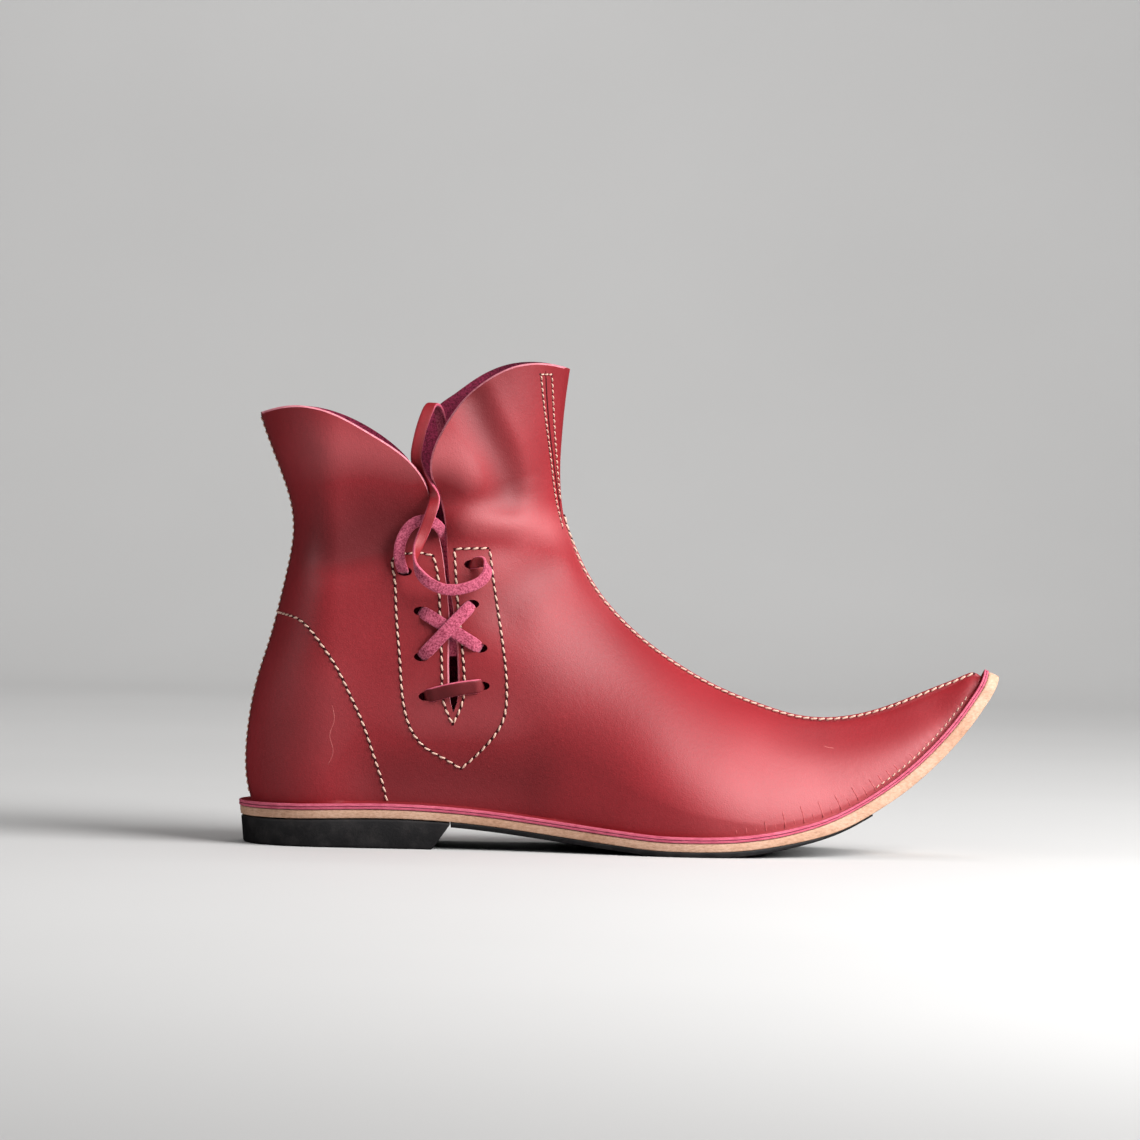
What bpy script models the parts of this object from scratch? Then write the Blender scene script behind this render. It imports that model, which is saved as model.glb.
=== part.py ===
"""Right elf ankle boot: laced leather upper, leather sole, rubber forefoot sheet and rubber heel.

Sizes are in millimetres and are turned into metres where a mesh is made. Stations along the boot are
measured from the back of the heel; X_MIDDLE moves the finished boot so that its middle stands on the origin.
X runs from heel to toe, Y to the inner (medial) side, Z up. The lateral side, with the lacing, is at -Y.
"""
import math

import bmesh
import bpy
import numpy as np

MM = 0.001
X_MIDDLE = 154.0
LATERAL = -1.0
MEDIAL = 1.0

# Leather and layers, counted down from the top face of the flange.
WALL = 2.2
FLANGE_THICK = 2.4
FLANGE_WIDTH = 3.4
FLANGE_HEEL_EXTRA = 1.5
SEAT = 0.3
INSOLE_RISE = 0.7
INSOLE_CLEAR = 0.6
INSOLE_FRONT = 284.0
LEATHER_TOP = FLANGE_THICK + SEAT
LEATHER_THICK = 3.5
LEATHER_TOE_EXTRA = 0.8
LEATHER_INSET = 0.5
RUBBER_TOP = LEATHER_TOP + LEATHER_THICK + SEAT
RUBBER_THICK = 1.7
RUBBER_INSET = 1.0
RUBBER_BACK = 87.0
RUBBER_FRONT = 252.0
HEEL_FRONT_TOP = 85.5
HEEL_FRONT_BOTTOM = 78.0
HEEL_TAPER = 0.8
BALL_HEIGHT = RUBBER_TOP + RUBBER_THICK

# Upper shape.
HEEL_CENTRE = 38.0
HEEL_BACK = 3.4
HEEL_POWER = 2.3
TOE_POINT = 302.0
BULGE = 2.0
BULGE_RISE = 8.0
CREST = 1.3
BACK_ROUND = 2.1
INNER_RIDGE = 2.7
INNER_START = 2.8

# Top face of the flange in side view: station, height.
FEATHER_LINE = [
    (-12.0, 17.4), (20.0, 17.4), (58.0, 18.3), (97.0, 16.4), (130.0, 12.6), (152.0, 10.0), (169.0, 8.4),
    (184.0, 8.2), (199.0, 8.7), (212.0, 10.1), (225.0, 12.6), (239.0, 16.8), (252.0, 23.3), (266.0, 32.5),
    (279.0, 43.7), (289.0, 54.5), (297.6, 66.0), (301.5, 72.6), (303.3, 77.5),
]

# Half widths of the upper where it meets the flange: station, lateral, medial.
PLAN = [
    (38.0, 30.2, 29.6), (60.0, 30.4, 28.6), (84.0, 30.2, 26.6), (110.0, 31.6, 26.6), (136.0, 36.6, 32.0),
    (162.0, 43.0, 40.4), (186.0, 45.4, 44.8), (210.0, 40.6, 42.0), (235.0, 30.6, 33.2), (255.0, 22.4, 24.4),
    (272.0, 15.8, 16.8), (286.0, 10.2, 10.6), (295.0, 6.4, 6.5), (299.8, 3.8, 3.8), (301.4, 2.0, 2.0),
    (302.0, 0.0, 0.0),
]

# Widest half width of the leg part: height, lateral, medial.
LEG_WIDTH = [
    (10.0, 30.0, 29.6), (40.0, 33.4, 33.0), (70.0, 36.0, 36.0), (100.0, 36.2, 36.4), (128.0, 35.2, 35.4),
    (150.0, 37.2, 37.4), (174.0, 40.4, 40.4), (210.0, 44.0, 44.0),
]

# Back seam in side view: height, station.
BACK_SEAM = [
    (10.0, 4.8), (17.4, 3.4), (26.0, 1.6), (37.0, 1.0), (51.0, 2.1), (67.0, 5.1), (83.0, 9.8), (100.0, 13.9),
    (116.0, 17.2), (128.0, 18.5), (141.0, 16.6), (154.0, 11.9), (167.0, 6.7), (176.0, 3.5), (190.0, -1.0),
]

# Sections of the foot: station on the flange, then station and height of the ridge the section runs to.
FOOT_SECTIONS = [
    (302.0, 302.0, 73.9), (299.8, 298.2, 74.4), (295.0, 291.8, 71.7), (286.0, 281.5, 67.4),
    (272.0, 266.5, 61.0), (255.0, 248.5, 55.7), (235.0, 229.0, 55.0), (212.0, 210.5, 59.8),
    (188.0, 192.5, 66.8), (162.0, 176.0, 75.8), (136.0, 162.2, 85.4), (110.0, 152.2, 94.3),
    (84.0, 144.2, 103.2), (58.0, 138.1, 112.3), (38.0, 134.5, 119.4),
]

# Sections round the back of the heel: turn of the section in degrees, then ridge station and height.
HEEL_SECTIONS = [(30.0, 132.0, 125.6), (60.0, 130.3, 130.0), (90.0, 129.2, 133.2)]

# Sections of the leg: height on the back seam, then ridge station and height.
LEG_SECTIONS = [
    (30.0, 128.2, 138.0), (48.0, 127.4, 144.0), (70.0, 126.9, 151.0), (92.0, 126.8, 158.5),
    (114.0, 127.1, 166.5), (134.0, 127.6, 175.0), (154.0, 128.4, 185.0), (176.0, 129.6, 196.5),
    (186.0, 130.6, 206.0),
]

# Rounding under the ridge: station of the ridge, reach, power, root. Domed over the instep, hollow at the toe.
RIDGE_ROUND = [
    (120.0, 58.0, 2.1, 1.85), (135.0, 56.0, 2.1, 1.75), (150.0, 53.0, 2.1, 1.6), (176.0, 50.0, 2.1, 1.5),
    (196.0, 47.0, 1.9, 1.33), (215.0, 43.0, 1.64, 1.14), (235.0, 40.0, 1.44, 1.02), (262.0, 34.0, 1.4, 1.0),
    (282.0, 32.0, 1.6, 1.15), (302.0, 30.0, 2.0, 1.4),
]

# Collar edges in side view, from the back seam to the slit and from the slit to the front seam.
LATERAL_BACK_FLAP = [
    (-14.0, 171.5), (4.0, 174.6), (12.0, 176.6), (21.0, 177.3), (34.5, 174.2), (48.0, 167.3), (62.0, 158.5),
    (69.0, 151.3), (72.6, 144.5), (74.8, 137.0), (76.8, 129.0), (78.6, 121.5), (80.0, 113.0), (81.4, 103.0),
    (82.4, 92.0), (82.7, 80.0), (83.0, 69.0), (83.9, 60.5), (85.0, 55.8),
]
LATERAL_FRONT_FLAP = [
    (85.0, 55.8), (86.3, 60.5), (86.6, 69.0), (86.0, 80.0), (84.8, 92.0), (83.2, 103.0), (81.9, 113.0),
    (81.2, 121.5), (80.7, 129.0), (80.0, 135.0), (78.8, 140.5), (76.6, 146.0), (74.6, 150.5), (74.0, 155.0),
    (74.6, 160.0), (76.6, 165.5), (80.0, 172.0), (84.0, 178.3), (90.0, 185.2), (96.0, 189.8), (102.0, 193.4),
    (109.0, 196.0), (116.0, 197.0), (124.0, 196.6), (131.0, 195.0), (146.0, 190.0),
]
MEDIAL_BACK_FLAP = [
    (-14.0, 171.5), (4.0, 174.6), (12.0, 176.9), (21.0, 178.2), (34.5, 176.0), (48.0, 170.0), (59.0, 162.4),
    (64.6, 156.6), (67.4, 151.6), (70.2, 146.0),
]
MEDIAL_FRONT_FLAP = [
    (70.2, 146.0), (70.9, 151.0), (70.2, 156.5), (70.2, 162.0), (71.4, 167.5), (73.4, 172.4), (76.2, 177.4),
    (79.6, 181.4), (83.6, 184.9), (90.2, 190.1), (98.4, 195.0), (105.0, 197.4), (112.0, 198.4), (119.0, 198.2),
    (125.0, 196.9), (131.0, 195.0), (146.0, 190.0),
]
FLAP_SAMPLES = 46
BLANK_TOP = 240.0
CUT_DEPTH = 90.0
CUT_OVERLAP = 0.6

# Lace holes on the lateral side: station and height, lowest first.
BACK_HOLES = [(72.0, 62.0), (70.0, 78.0), (69.4, 96.2), (64.0, 112.2)]
FRONT_HOLES = [(98.0, 66.6), (96.7, 81.8), (92.8, 100.0), (91.0, 115.6)]
HOLE_LONG = 5.0
HOLE_SHORT = 2.6
HOLE_SIDES = 10
HOLE_DEPTH = 9.0

# Flat leather lace.
LACE_WIDE = 4.1
LACE_THICK = 1.5
LACE_LIFT = 0.4
LACE_STEPS = 15
CROSS_RISE = 1.35
BAR_RISE = 0.6

# Loose ends: station, distance out from the leather (negative is inside), height, then the direction that
# the width of the strip lies in.
FRONT_END = [
    (92.4, 1.7, 116.2, (0.2, 0.0, 1.0)), (95.4, 3.8, 116.8, (0.1, -0.5, 0.8)), (97.4, 6.0, 114.2, (-0.7, -0.6, 0.3)),
    (95.4, 7.4, 109.6, (-0.6, -0.2, 0.8)), (89.2, 8.2, 106.4, (0.0, -0.2, 1.0)), (81.5, 8.8, 105.4, (0.0, -0.1, 1.0)),
    (74.4, 9.2, 107.8, (0.5, -0.1, 0.9)), (69.8, 9.4, 112.2, (0.8, 0.0, 0.5)), (68.1, 9.4, 117.5, (1.0, 0.0, 0.1)),
    (69.6, 9.2, 123.7, (1.0, 0.1, -0.3)), (72.0, 8.4, 129.9, (0.9, 0.4, -0.4)), (74.2, 6.6, 136.4, (0.7, 0.8, -0.3)),
    (75.4, 3.0, 141.8, (0.2, 1.0, -0.1)), (73.7, -2.0, 147.0, (0.1, 1.0, 0.2)), (70.6, -6.0, 151.6, (0.5, 0.8, 0.4)),
    (67.6, -8.2, 157.0, (0.9, 0.4, -0.3)), (68.0, -9.4, 164.0, (1.0, 0.2, -0.1)), (69.4, -10.2, 171.0, (1.0, 0.1, -0.2)),
    (71.2, -11.2, 177.4, (0.9, -0.1, -0.3)), (73.2, -12.8, 181.2, (0.8, -0.5, -0.1)), (75.4, -14.6, 180.8, (0.8, -0.6, 0.1)),
    (77.0, -15.6, 176.6, (0.8, -0.5, 0.2)), (78.2, -15.6, 169.0, (0.9, -0.4, 0.2)), (79.0, -14.8, 160.0, (0.9, -0.3, 0.2)),
    (79.6, -13.8, 151.0, (0.9, -0.3, 0.1)),
]
BACK_END = [
    (63.2, 1.7, 113.0, (1.0, 0.0, 0.1)), (61.8, 4.0, 117.6, (1.0, 0.1, 0.2)), (62.0, 5.2, 123.0, (1.0, 0.0, -0.3)),
    (64.2, 5.2, 128.4, (0.7, 0.0, -0.7)), (67.8, 4.8, 132.0, (0.3, -0.1, -0.9)), (72.0, 4.2, 133.0, (-0.1, 0.0, -1.0)),
    (75.8, 2.8, 131.8, (-0.4, 0.0, -0.9)), (78.4, 0.2, 129.2, (-0.2, 0.3, -0.9)), (79.2, -3.4, 127.0, (0.0, 0.4, -0.9)),
    (79.6, -7.0, 124.0, (0.0, 0.3, -0.9)), (79.8, -9.0, 119.5, (0.0, 0.9, -0.3)),
]
END_STEPS = 4

# Steps of the upper's mesh.
STEPS_PER_SECTION = 2
COLUMNS = 13


def natural_spline(knots, values):
    """Return a function: the natural cubic spline through the values at the knots."""
    k = np.asarray(knots, float)
    v = np.asarray(values, float)
    step = np.diff(k)
    count = len(k)
    system = np.eye(count)
    right = np.zeros_like(v)
    for i in range(1, count - 1):
        system[i, i - 1:i + 2] = step[i - 1], 2.0 * (step[i - 1] + step[i]), step[i]
        right[i] = 6.0 * ((v[i + 1] - v[i]) / step[i] - (v[i] - v[i - 1]) / step[i - 1])
    bend = np.linalg.solve(system, right)

    def at(t):
        t = np.asarray(t, float)
        i = np.clip(np.searchsorted(k, t) - 1, 0, count - 2)
        h, before, after = step[i], t - k[i], k[i + 1] - t
        if v.ndim > 1:
            h, before, after = h[..., None], before[..., None], after[..., None]
        cubic = (bend[i] * after ** 3 + bend[i + 1] * before ** 3) / (6.0 * h)
        return cubic + (v[i] / h - bend[i] * h / 6.0) * after + (v[i + 1] / h - bend[i + 1] * h / 6.0) * before

    return at


def chord_curve(points, samples):
    """Return samples points along the spline through the points, spaced by chord length."""
    p = np.asarray(points, float)
    run = np.concatenate([[0.0], np.cumsum(np.linalg.norm(np.diff(p, axis=0), axis=1))])
    return natural_spline(run, p)(np.linspace(0.0, run[-1], samples))


def column(table, index):
    """One column of a table as an array."""
    return np.array([row[index] for row in table], float)


FEATHER_SAMPLES = chord_curve(FEATHER_LINE, 900)
FEATHER_SAMPLES[:, 1] = np.maximum(FEATHER_SAMPLES[:, 1], BALL_HEIGHT)
FEATHER_RUN = np.concatenate([[0.0], np.cumsum(np.linalg.norm(np.diff(FEATHER_SAMPLES, axis=0), axis=1))])
RIDGE_POINTS = [row[1:] for row in FOOT_SECTIONS + HEEL_SECTIONS + LEG_SECTIONS]
RIDGE_SAMPLES = chord_curve(RIDGE_POINTS, 700)
PLAN_SPLINE = natural_spline(column(PLAN, 0), np.array([row[1:] for row in PLAN]))
LEG_SPLINE = natural_spline(column(LEG_WIDTH, 0), np.array([row[1:] for row in LEG_WIDTH]))
BACK_SPLINE = natural_spline(column(BACK_SEAM, 0), column(BACK_SEAM, 1))
U_HEEL_START = len(FOOT_SECTIONS) - 1
U_HEEL = U_HEEL_START + len(HEEL_SECTIONS)
U_TOP = U_HEEL + len(LEG_SECTIONS)
FOOT_SPLINE = natural_spline(np.arange(U_HEEL_START + 1), column(FOOT_SECTIONS, 0))
LEG_BACK_SPLINE = natural_spline(
    np.arange(U_HEEL, U_TOP + 1), np.concatenate([[FEATHER_LINE[1][1]], column(LEG_SECTIONS, 0)])
)
RIDGE_SPLINE = natural_spline(np.arange(U_TOP + 1), np.array(RIDGE_POINTS))


def feather_height(x):
    """Height of the flange's top face at a station."""
    return np.interp(x, FEATHER_SAMPLES[:, 0], FEATHER_SAMPLES[:, 1])


def smooth(t):
    """Smooth step from 0 to 1."""
    t = np.clip(t, 0.0, 1.0)
    return t * t * (3.0 - 2.0 * t)


def foot_half(x, side):
    """Half width of the upper at the flange: a rounded heel, then the spline of the plan table."""
    x = np.asarray(x, float)
    plan = PLAN_SPLINE(np.clip(x, HEEL_CENTRE, TOE_POINT))[..., 0 if side < 0 else 1]
    back = np.clip((HEEL_CENTRE - x) / (HEEL_CENTRE - HEEL_BACK), 0.0, 1.0)
    return np.maximum(plan, 0.0) * (1.0 - back ** HEEL_POWER) ** (1.0 / BACK_ROUND)


def ridge_distance(x, z):
    """Distance in side view to the ridge line, and the station of the nearest ridge point."""
    x, z = np.broadcast_arrays(np.asarray(x, float), np.asarray(z, float))
    p = np.stack([x.ravel(), z.ravel()], axis=1)
    last = len(RIDGE_SAMPLES) - 2
    near = np.empty(len(p), int)
    for start in range(0, len(p), 4000):
        part = p[start:start + 4000]
        gap = (part[:, None, 0] - RIDGE_SAMPLES[None, :, 0]) ** 2 + (part[:, None, 1] - RIDGE_SAMPLES[None, :, 1]) ** 2
        near[start:start + 4000] = np.argmin(gap, axis=1)
    best = np.full(len(p), np.inf)
    for shift in (-1, 0):
        i = np.clip(near + shift, 0, last)
        a, b = RIDGE_SAMPLES[i], RIDGE_SAMPLES[i + 1]
        along = b - a
        t = np.clip(np.sum((p - a) * along, axis=1) / np.sum(along * along, axis=1), 0.0, 1.0)
        best = np.minimum(best, np.linalg.norm(p - a - t[:, None] * along, axis=1))
    return best.reshape(x.shape), RIDGE_SAMPLES[near, 0].reshape(x.shape)


FOOT_REACH_X = np.linspace(0.0, TOE_POINT, 240)
FOOT_REACH = ridge_distance(FOOT_REACH_X, feather_height(FOOT_REACH_X))[0]


def half_width(x, z, side):
    """Half width of the upper's outer face at a station and height.

    Width field times a rounding towards the back seam times a rounding towards the ridge. The width field goes
    from the plan of the foot, with a small bulge over the flange, to the width table of the leg.
    """
    x, z = np.broadcast_arrays(np.asarray(x, float), np.asarray(z, float))
    rise = z - feather_height(x)
    foot = PLAN_SPLINE(np.clip(x, HEEL_CENTRE, TOE_POINT))[..., 0 if side < 0 else 1]
    foot = foot + BULGE * smooth(foot / 24.0) * (1.0 - np.exp(-np.maximum(rise, 0.0) / BULGE_RISE))
    leg = LEG_SPLINE(np.clip(z, 10.0, 210.0))[..., 0 if side < 0 else 1]
    mix = smooth((rise - 2.0) / 64.0) * smooth((176.0 - x) / 62.0)
    width = foot * (1.0 - mix) + leg * mix
    back_x = BACK_SPLINE(z)
    back = np.clip((HEEL_CENTRE - x) / (HEEL_CENTRE - back_x), 0.0, 1.0)
    back_fall = (1.0 - back ** HEEL_POWER) ** (1.0 / BACK_ROUND)
    gap, ridge_x = ridge_distance(x, z)
    reach = np.interp(ridge_x, column(RIDGE_ROUND, 0), column(RIDGE_ROUND, 1))
    reach = np.minimum(reach, 0.94 * np.interp(x, FOOT_REACH_X, FOOT_REACH) + 0.02)
    power = np.interp(ridge_x, column(RIDGE_ROUND, 0), column(RIDGE_ROUND, 2))
    root = np.interp(ridge_x, column(RIDGE_ROUND, 0), column(RIDGE_ROUND, 3))
    near = 1.0 - np.clip(gap / reach, 0.0, 1.0)
    return width * back_fall * (1.0 - near ** power) ** (1.0 / root)


def skin(x, z, side, lift=0.0):
    """Points on the outer face at stations and heights, moved out along the normal by lift."""
    x, z, lift = np.broadcast_arrays(np.asarray(x, float), np.asarray(z, float), np.asarray(lift, float))
    step = 0.4
    slope_x = (half_width(x + step, z, side) - half_width(x - step, z, side)) / (2.0 * step)
    slope_z = (half_width(x, z + step, side) - half_width(x, z - step, side)) / (2.0 * step)
    normal = np.stack([-slope_x, np.full_like(slope_x, side), -slope_z], axis=-1)
    normal /= np.linalg.norm(normal, axis=-1, keepdims=True)
    base = np.stack([x, side * half_width(x, z, side), z], axis=-1)
    return base + lift[..., None] * normal, normal


def foot_station(u):
    """Station on the flange of foot and heel sections."""
    turn = np.radians(np.clip(u - U_HEEL_START, 0.0, 3.0) * 30.0)
    round_heel = HEEL_CENTRE - (HEEL_CENTRE - HEEL_BACK) * np.sin(turn)
    return np.where(u <= U_HEEL_START, FOOT_SPLINE(np.minimum(u, U_HEEL_START)), round_heel)


def edge_point(u):
    """Lower end of a section in side view: on the flange for the foot, on the back seam for the leg."""
    u = np.asarray(u, float)
    station = foot_station(np.minimum(u, U_HEEL))
    foot = np.stack([station, feather_height(station)], axis=-1)
    height = LEG_BACK_SPLINE(np.clip(u, U_HEEL, U_TOP))
    leg = np.stack([BACK_SPLINE(height), height], axis=-1)
    return np.where((u <= U_HEEL)[..., None], foot, leg)


def inner_reach(u):
    """Share of each section, up from its lower end, in which both halves are wide enough for the lining face."""
    v = np.linspace(0.5, 1.0, 120)
    low, high = edge_point(u), RIDGE_SPLINE(u)
    flat = low[:, None, :] * (1.0 - v[None, :, None]) + high[:, None, :] * v[None, :, None]
    sides = [half_width(flat[..., 0], flat[..., 1], side) for side in (LATERAL, MEDIAL)]
    wide = np.minimum(*sides) >= INNER_RIDGE
    return np.where(wide.any(axis=1), v[len(v) - 1 - np.argmax(wide[:, ::-1], axis=1)], 0.5)


def section_grid(u, reach=1.0):
    """Outer face, one row for each section and columns from lateral edge over the ridge to medial edge."""
    low, high = edge_point(u), RIDGE_SPLINE(u)
    v = 0.5 - 0.5 * np.cos(np.linspace(0.0, math.pi, COLUMNS))
    v = v[None, :] * np.broadcast_to(reach, u.shape)[:, None]
    flat = low[:, None, :] * (1.0 - v[..., None]) + high[:, None, :] * v[..., None]
    halves = []
    for side in (LATERAL, MEDIAL):
        half = half_width(flat[..., 0], flat[..., 1], side)
        half[:, -1] = 0.0
        half[u >= U_HEEL, 0] = 0.0
        on_foot = u < U_HEEL
        half[on_foot, 0] = foot_half(low[on_foot, 0], side)
        halves.append(np.stack([flat[..., 0], side * half, flat[..., 1]], axis=-1))
    return np.concatenate([halves[0], halves[1][:, -2::-1]], axis=1)


def grid_normals(grid, u):
    """Outward normals of the section grid, averaged over the seams."""
    along = np.gradient(grid, axis=0)
    across = np.gradient(grid, axis=1)
    closed = u >= U_HEEL
    wrap = (grid[:, 1] - grid[:, -2]) / 2.0
    across[closed, 0] = wrap[closed]
    across[closed, -1] = wrap[closed]
    normal = np.cross(across, along)
    length = np.linalg.norm(normal, axis=-1, keepdims=True)
    return normal / np.maximum(length, 1e-9)


def flange_frame(run):
    """Point and upward normal of the flange line at a developed length, carried on straight past its ends."""
    inside = np.clip(run, 0.0, FEATHER_RUN[-1])
    x = np.interp(inside, FEATHER_RUN, FEATHER_SAMPLES[:, 0])
    z = np.interp(inside, FEATHER_RUN, FEATHER_SAMPLES[:, 1])
    slope = np.gradient(FEATHER_SAMPLES, axis=0)
    slope /= np.linalg.norm(slope, axis=1, keepdims=True)
    along_x = np.interp(inside, FEATHER_RUN, slope[:, 0])
    along_z = np.interp(inside, FEATHER_RUN, slope[:, 1])
    point = np.stack([x + along_x * (run - inside), z + along_z * (run - inside)], axis=-1)
    return point, np.stack([-along_z, along_x], axis=-1)


def sole_ring(u, offset, depth):
    """Ring of points round the sole, lateral then medial, moved out by offset and down by depth."""
    station = foot_station(u)
    run = np.interp(station, FEATHER_SAMPLES[:, 0], FEATHER_RUN)
    turn = np.radians(np.clip(u - U_HEEL_START, 0.0, 3.0) * 30.0)
    out = offset + (FLANGE_HEEL_EXTRA * np.sin(turn) ** 2 if offset > 0.0 else 0.0 * turn)
    rings = []
    for side in (LATERAL, MEDIAL):
        half = foot_half(station, side)
        along = np.gradient(np.stack([run, half], axis=-1), axis=0)
        across = np.stack([-along[:, 1], along[:, 0]], axis=-1) * -1.0
        across /= np.maximum(np.linalg.norm(across, axis=1, keepdims=True), 1e-9)
        if station[0] >= TOE_POINT:
            across[0] = (1.0, 0.0)
        if u[-1] >= U_HEEL:
            across[-1] = (-1.0, 0.0)
        point, normal = flange_frame(run + across[:, 0] * out)
        wide = np.maximum(half + across[:, 1] * out, 0.0)
        place = point - normal * np.asarray(depth)[..., None]
        rings.append(np.stack([place[:, 0], side * wide, place[:, 1]], axis=-1))
    return rings


def make_object(name, vertices, faces, group, colour):
    """Mesh object from points in millimetres, merged where points meet, facing out."""
    mesh = bpy.data.meshes.new(name)
    place = (np.asarray(vertices, float) - np.array([X_MIDDLE, 0.0, 0.0])) * MM
    mesh.from_pydata(place.tolist(), [], faces)
    work = bmesh.new()
    work.from_mesh(mesh)
    bmesh.ops.remove_doubles(work, verts=work.verts, dist=0.00002)
    bmesh.ops.dissolve_degenerate(work, dist=0.00001, edges=work.edges)
    bmesh.ops.recalc_face_normals(work, faces=work.faces)
    work.to_mesh(mesh)
    work.free()
    item = bpy.data.objects.new(name, mesh)
    group.objects.link(item)
    paint = bpy.data.materials.new(name)
    paint.use_nodes = True
    paint.node_tree.nodes["Principled BSDF"].inputs["Base Color"].default_value = (*colour, 1.0)
    paint.diffuse_color = (*colour, 1.0)
    mesh.materials.append(paint)
    return item


def quads_between(first, second):
    """Faces between two equal rows of point numbers."""
    return [(first[i], first[i + 1], second[i + 1], second[i]) for i in range(len(first) - 1)]


def make_upper(group):
    """Hollow shell: outer and inner wall, flange ring at the bottom and a blank top that the collar is cut from."""
    foot = np.linspace(0.0, U_HEEL_START, U_HEEL_START * STEPS_PER_SECTION + 1)
    heel = np.linspace(U_HEEL_START, U_HEEL, 9)[1:]
    leg = np.linspace(U_HEEL, U_TOP, (U_TOP - U_HEEL) * STEPS_PER_SECTION + 1)[1:]
    u = np.concatenate([foot, heel, leg])
    outer = section_grid(u)
    middle = COLUMNS - 1
    normal = grid_normals(outer, u)
    crest = CREST * smooth((outer[:, middle, 0] - 132.0) / 20.0) * smooth(u / 2.0)
    outer[:, middle] += crest[:, None] * normal[:, middle]
    lag = np.clip(1.0 - u / (2.0 * INNER_START), 0.0, 1.0)
    inner_u = u + INNER_START * lag ** 2
    base = section_grid(inner_u, inner_reach(inner_u))
    thick = np.full(base.shape[:2], WALL)
    thick[:, middle] *= 1.0 - smooth((base[:, middle, 0] - 190.0) / 40.0)
    inner = base - thick[..., None] * grid_normals(base, inner_u)
    on_foot = u <= U_HEEL
    rings = [
        sole_ring(u[on_foot], FLANGE_WIDTH, np.zeros(on_foot.sum())),
        sole_ring(u[on_foot], FLANGE_WIDTH, np.full(on_foot.sum(), FLANGE_THICK)),
        sole_ring(inner_u[on_foot], -WALL, np.full(on_foot.sum(), FLANGE_THICK)),
    ]
    inner[on_foot, 0] = rings[2][0]
    inner[on_foot, -1] = rings[2][1]
    inner[0] = (rings[2][0][0] + rings[2][1][0]) / 2.0
    inner[0, :, 1] = 0.0

    points = [outer.reshape(-1, 3), inner.reshape(-1, 3)]
    rows, columns = outer.shape[:2]
    outer_id = np.arange(rows * columns).reshape(rows, columns)
    inner_id = outer_id + rows * columns
    ring_id = []
    count = 2 * rows * columns
    for lateral, medial in rings[:2]:
        points += [lateral, medial[::-1]]
        ring_id.append(np.arange(count, count + 2 * len(lateral)))
        count += 2 * len(lateral)
    faces = []
    for i in range(rows - 1):
        faces += quads_between(outer_id[i], outer_id[i + 1])
        faces += quads_between(inner_id[i], inner_id[i + 1])
    faces += quads_between(outer_id[-1], inner_id[-1])
    edge = int(on_foot.sum())
    outer_edge = np.concatenate([outer_id[:edge, 0], outer_id[:edge, -1][::-1]])
    inner_edge = np.concatenate([inner_id[:edge, 0], inner_id[:edge, -1][::-1]])
    for first, second in ((outer_edge, ring_id[0]), (ring_id[0], ring_id[1]), (ring_id[1], inner_edge)):
        faces += quads_between(first, second)
    whole = np.concatenate(points)
    faces = [tuple(int(n) for n in face) for face in faces]
    return make_object("upper", whole, faces, group, (0.34, 0.03, 0.04))


def make_plate(name, u, tops, bottoms, group, colour):
    """Bent plate between two rings of points."""
    points = [tops[0], tops[1], bottoms[0], bottoms[1]]
    count = len(u)
    a, b, c, d = (np.arange(count) + n * count for n in range(4))
    faces = quads_between(a, b) + quads_between(c, d) + quads_between(a, c) + quads_between(b, d)
    faces += [(a[0], b[0], d[0], c[0]), (a[-1], b[-1], d[-1], c[-1])]
    faces = [tuple(int(n) for n in face) for face in faces]
    return make_object(name, np.concatenate(points), faces, group, colour)


def sole_rows(back, front):
    """Section numbers of the sole between two stations; past the heel the rows run round its back."""
    every = np.concatenate([
        np.linspace(0.0, U_HEEL_START, U_HEEL_START * 3 + 1), np.linspace(U_HEEL_START, U_HEEL, 10)[1:]
    ])
    fine = np.linspace(0.0, U_HEEL_START, 4000)
    ends = [fine[np.argmin(np.abs(foot_station(fine) - limit))] for limit in (front, back)]
    first = 0.0 if front >= TOE_POINT else ends[0]
    last = U_HEEL if back <= HEEL_BACK else ends[1]
    inside = every[(every > first + 0.1) & (every < last - 0.1)]
    return np.concatenate([[first], inside, [last]])


def toe_extra(rows):
    """Extra depth of the leather sole, which grows thicker under the toe."""
    return LEATHER_TOE_EXTRA * smooth((foot_station(rows) - 214.0) / 32.0)


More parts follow.
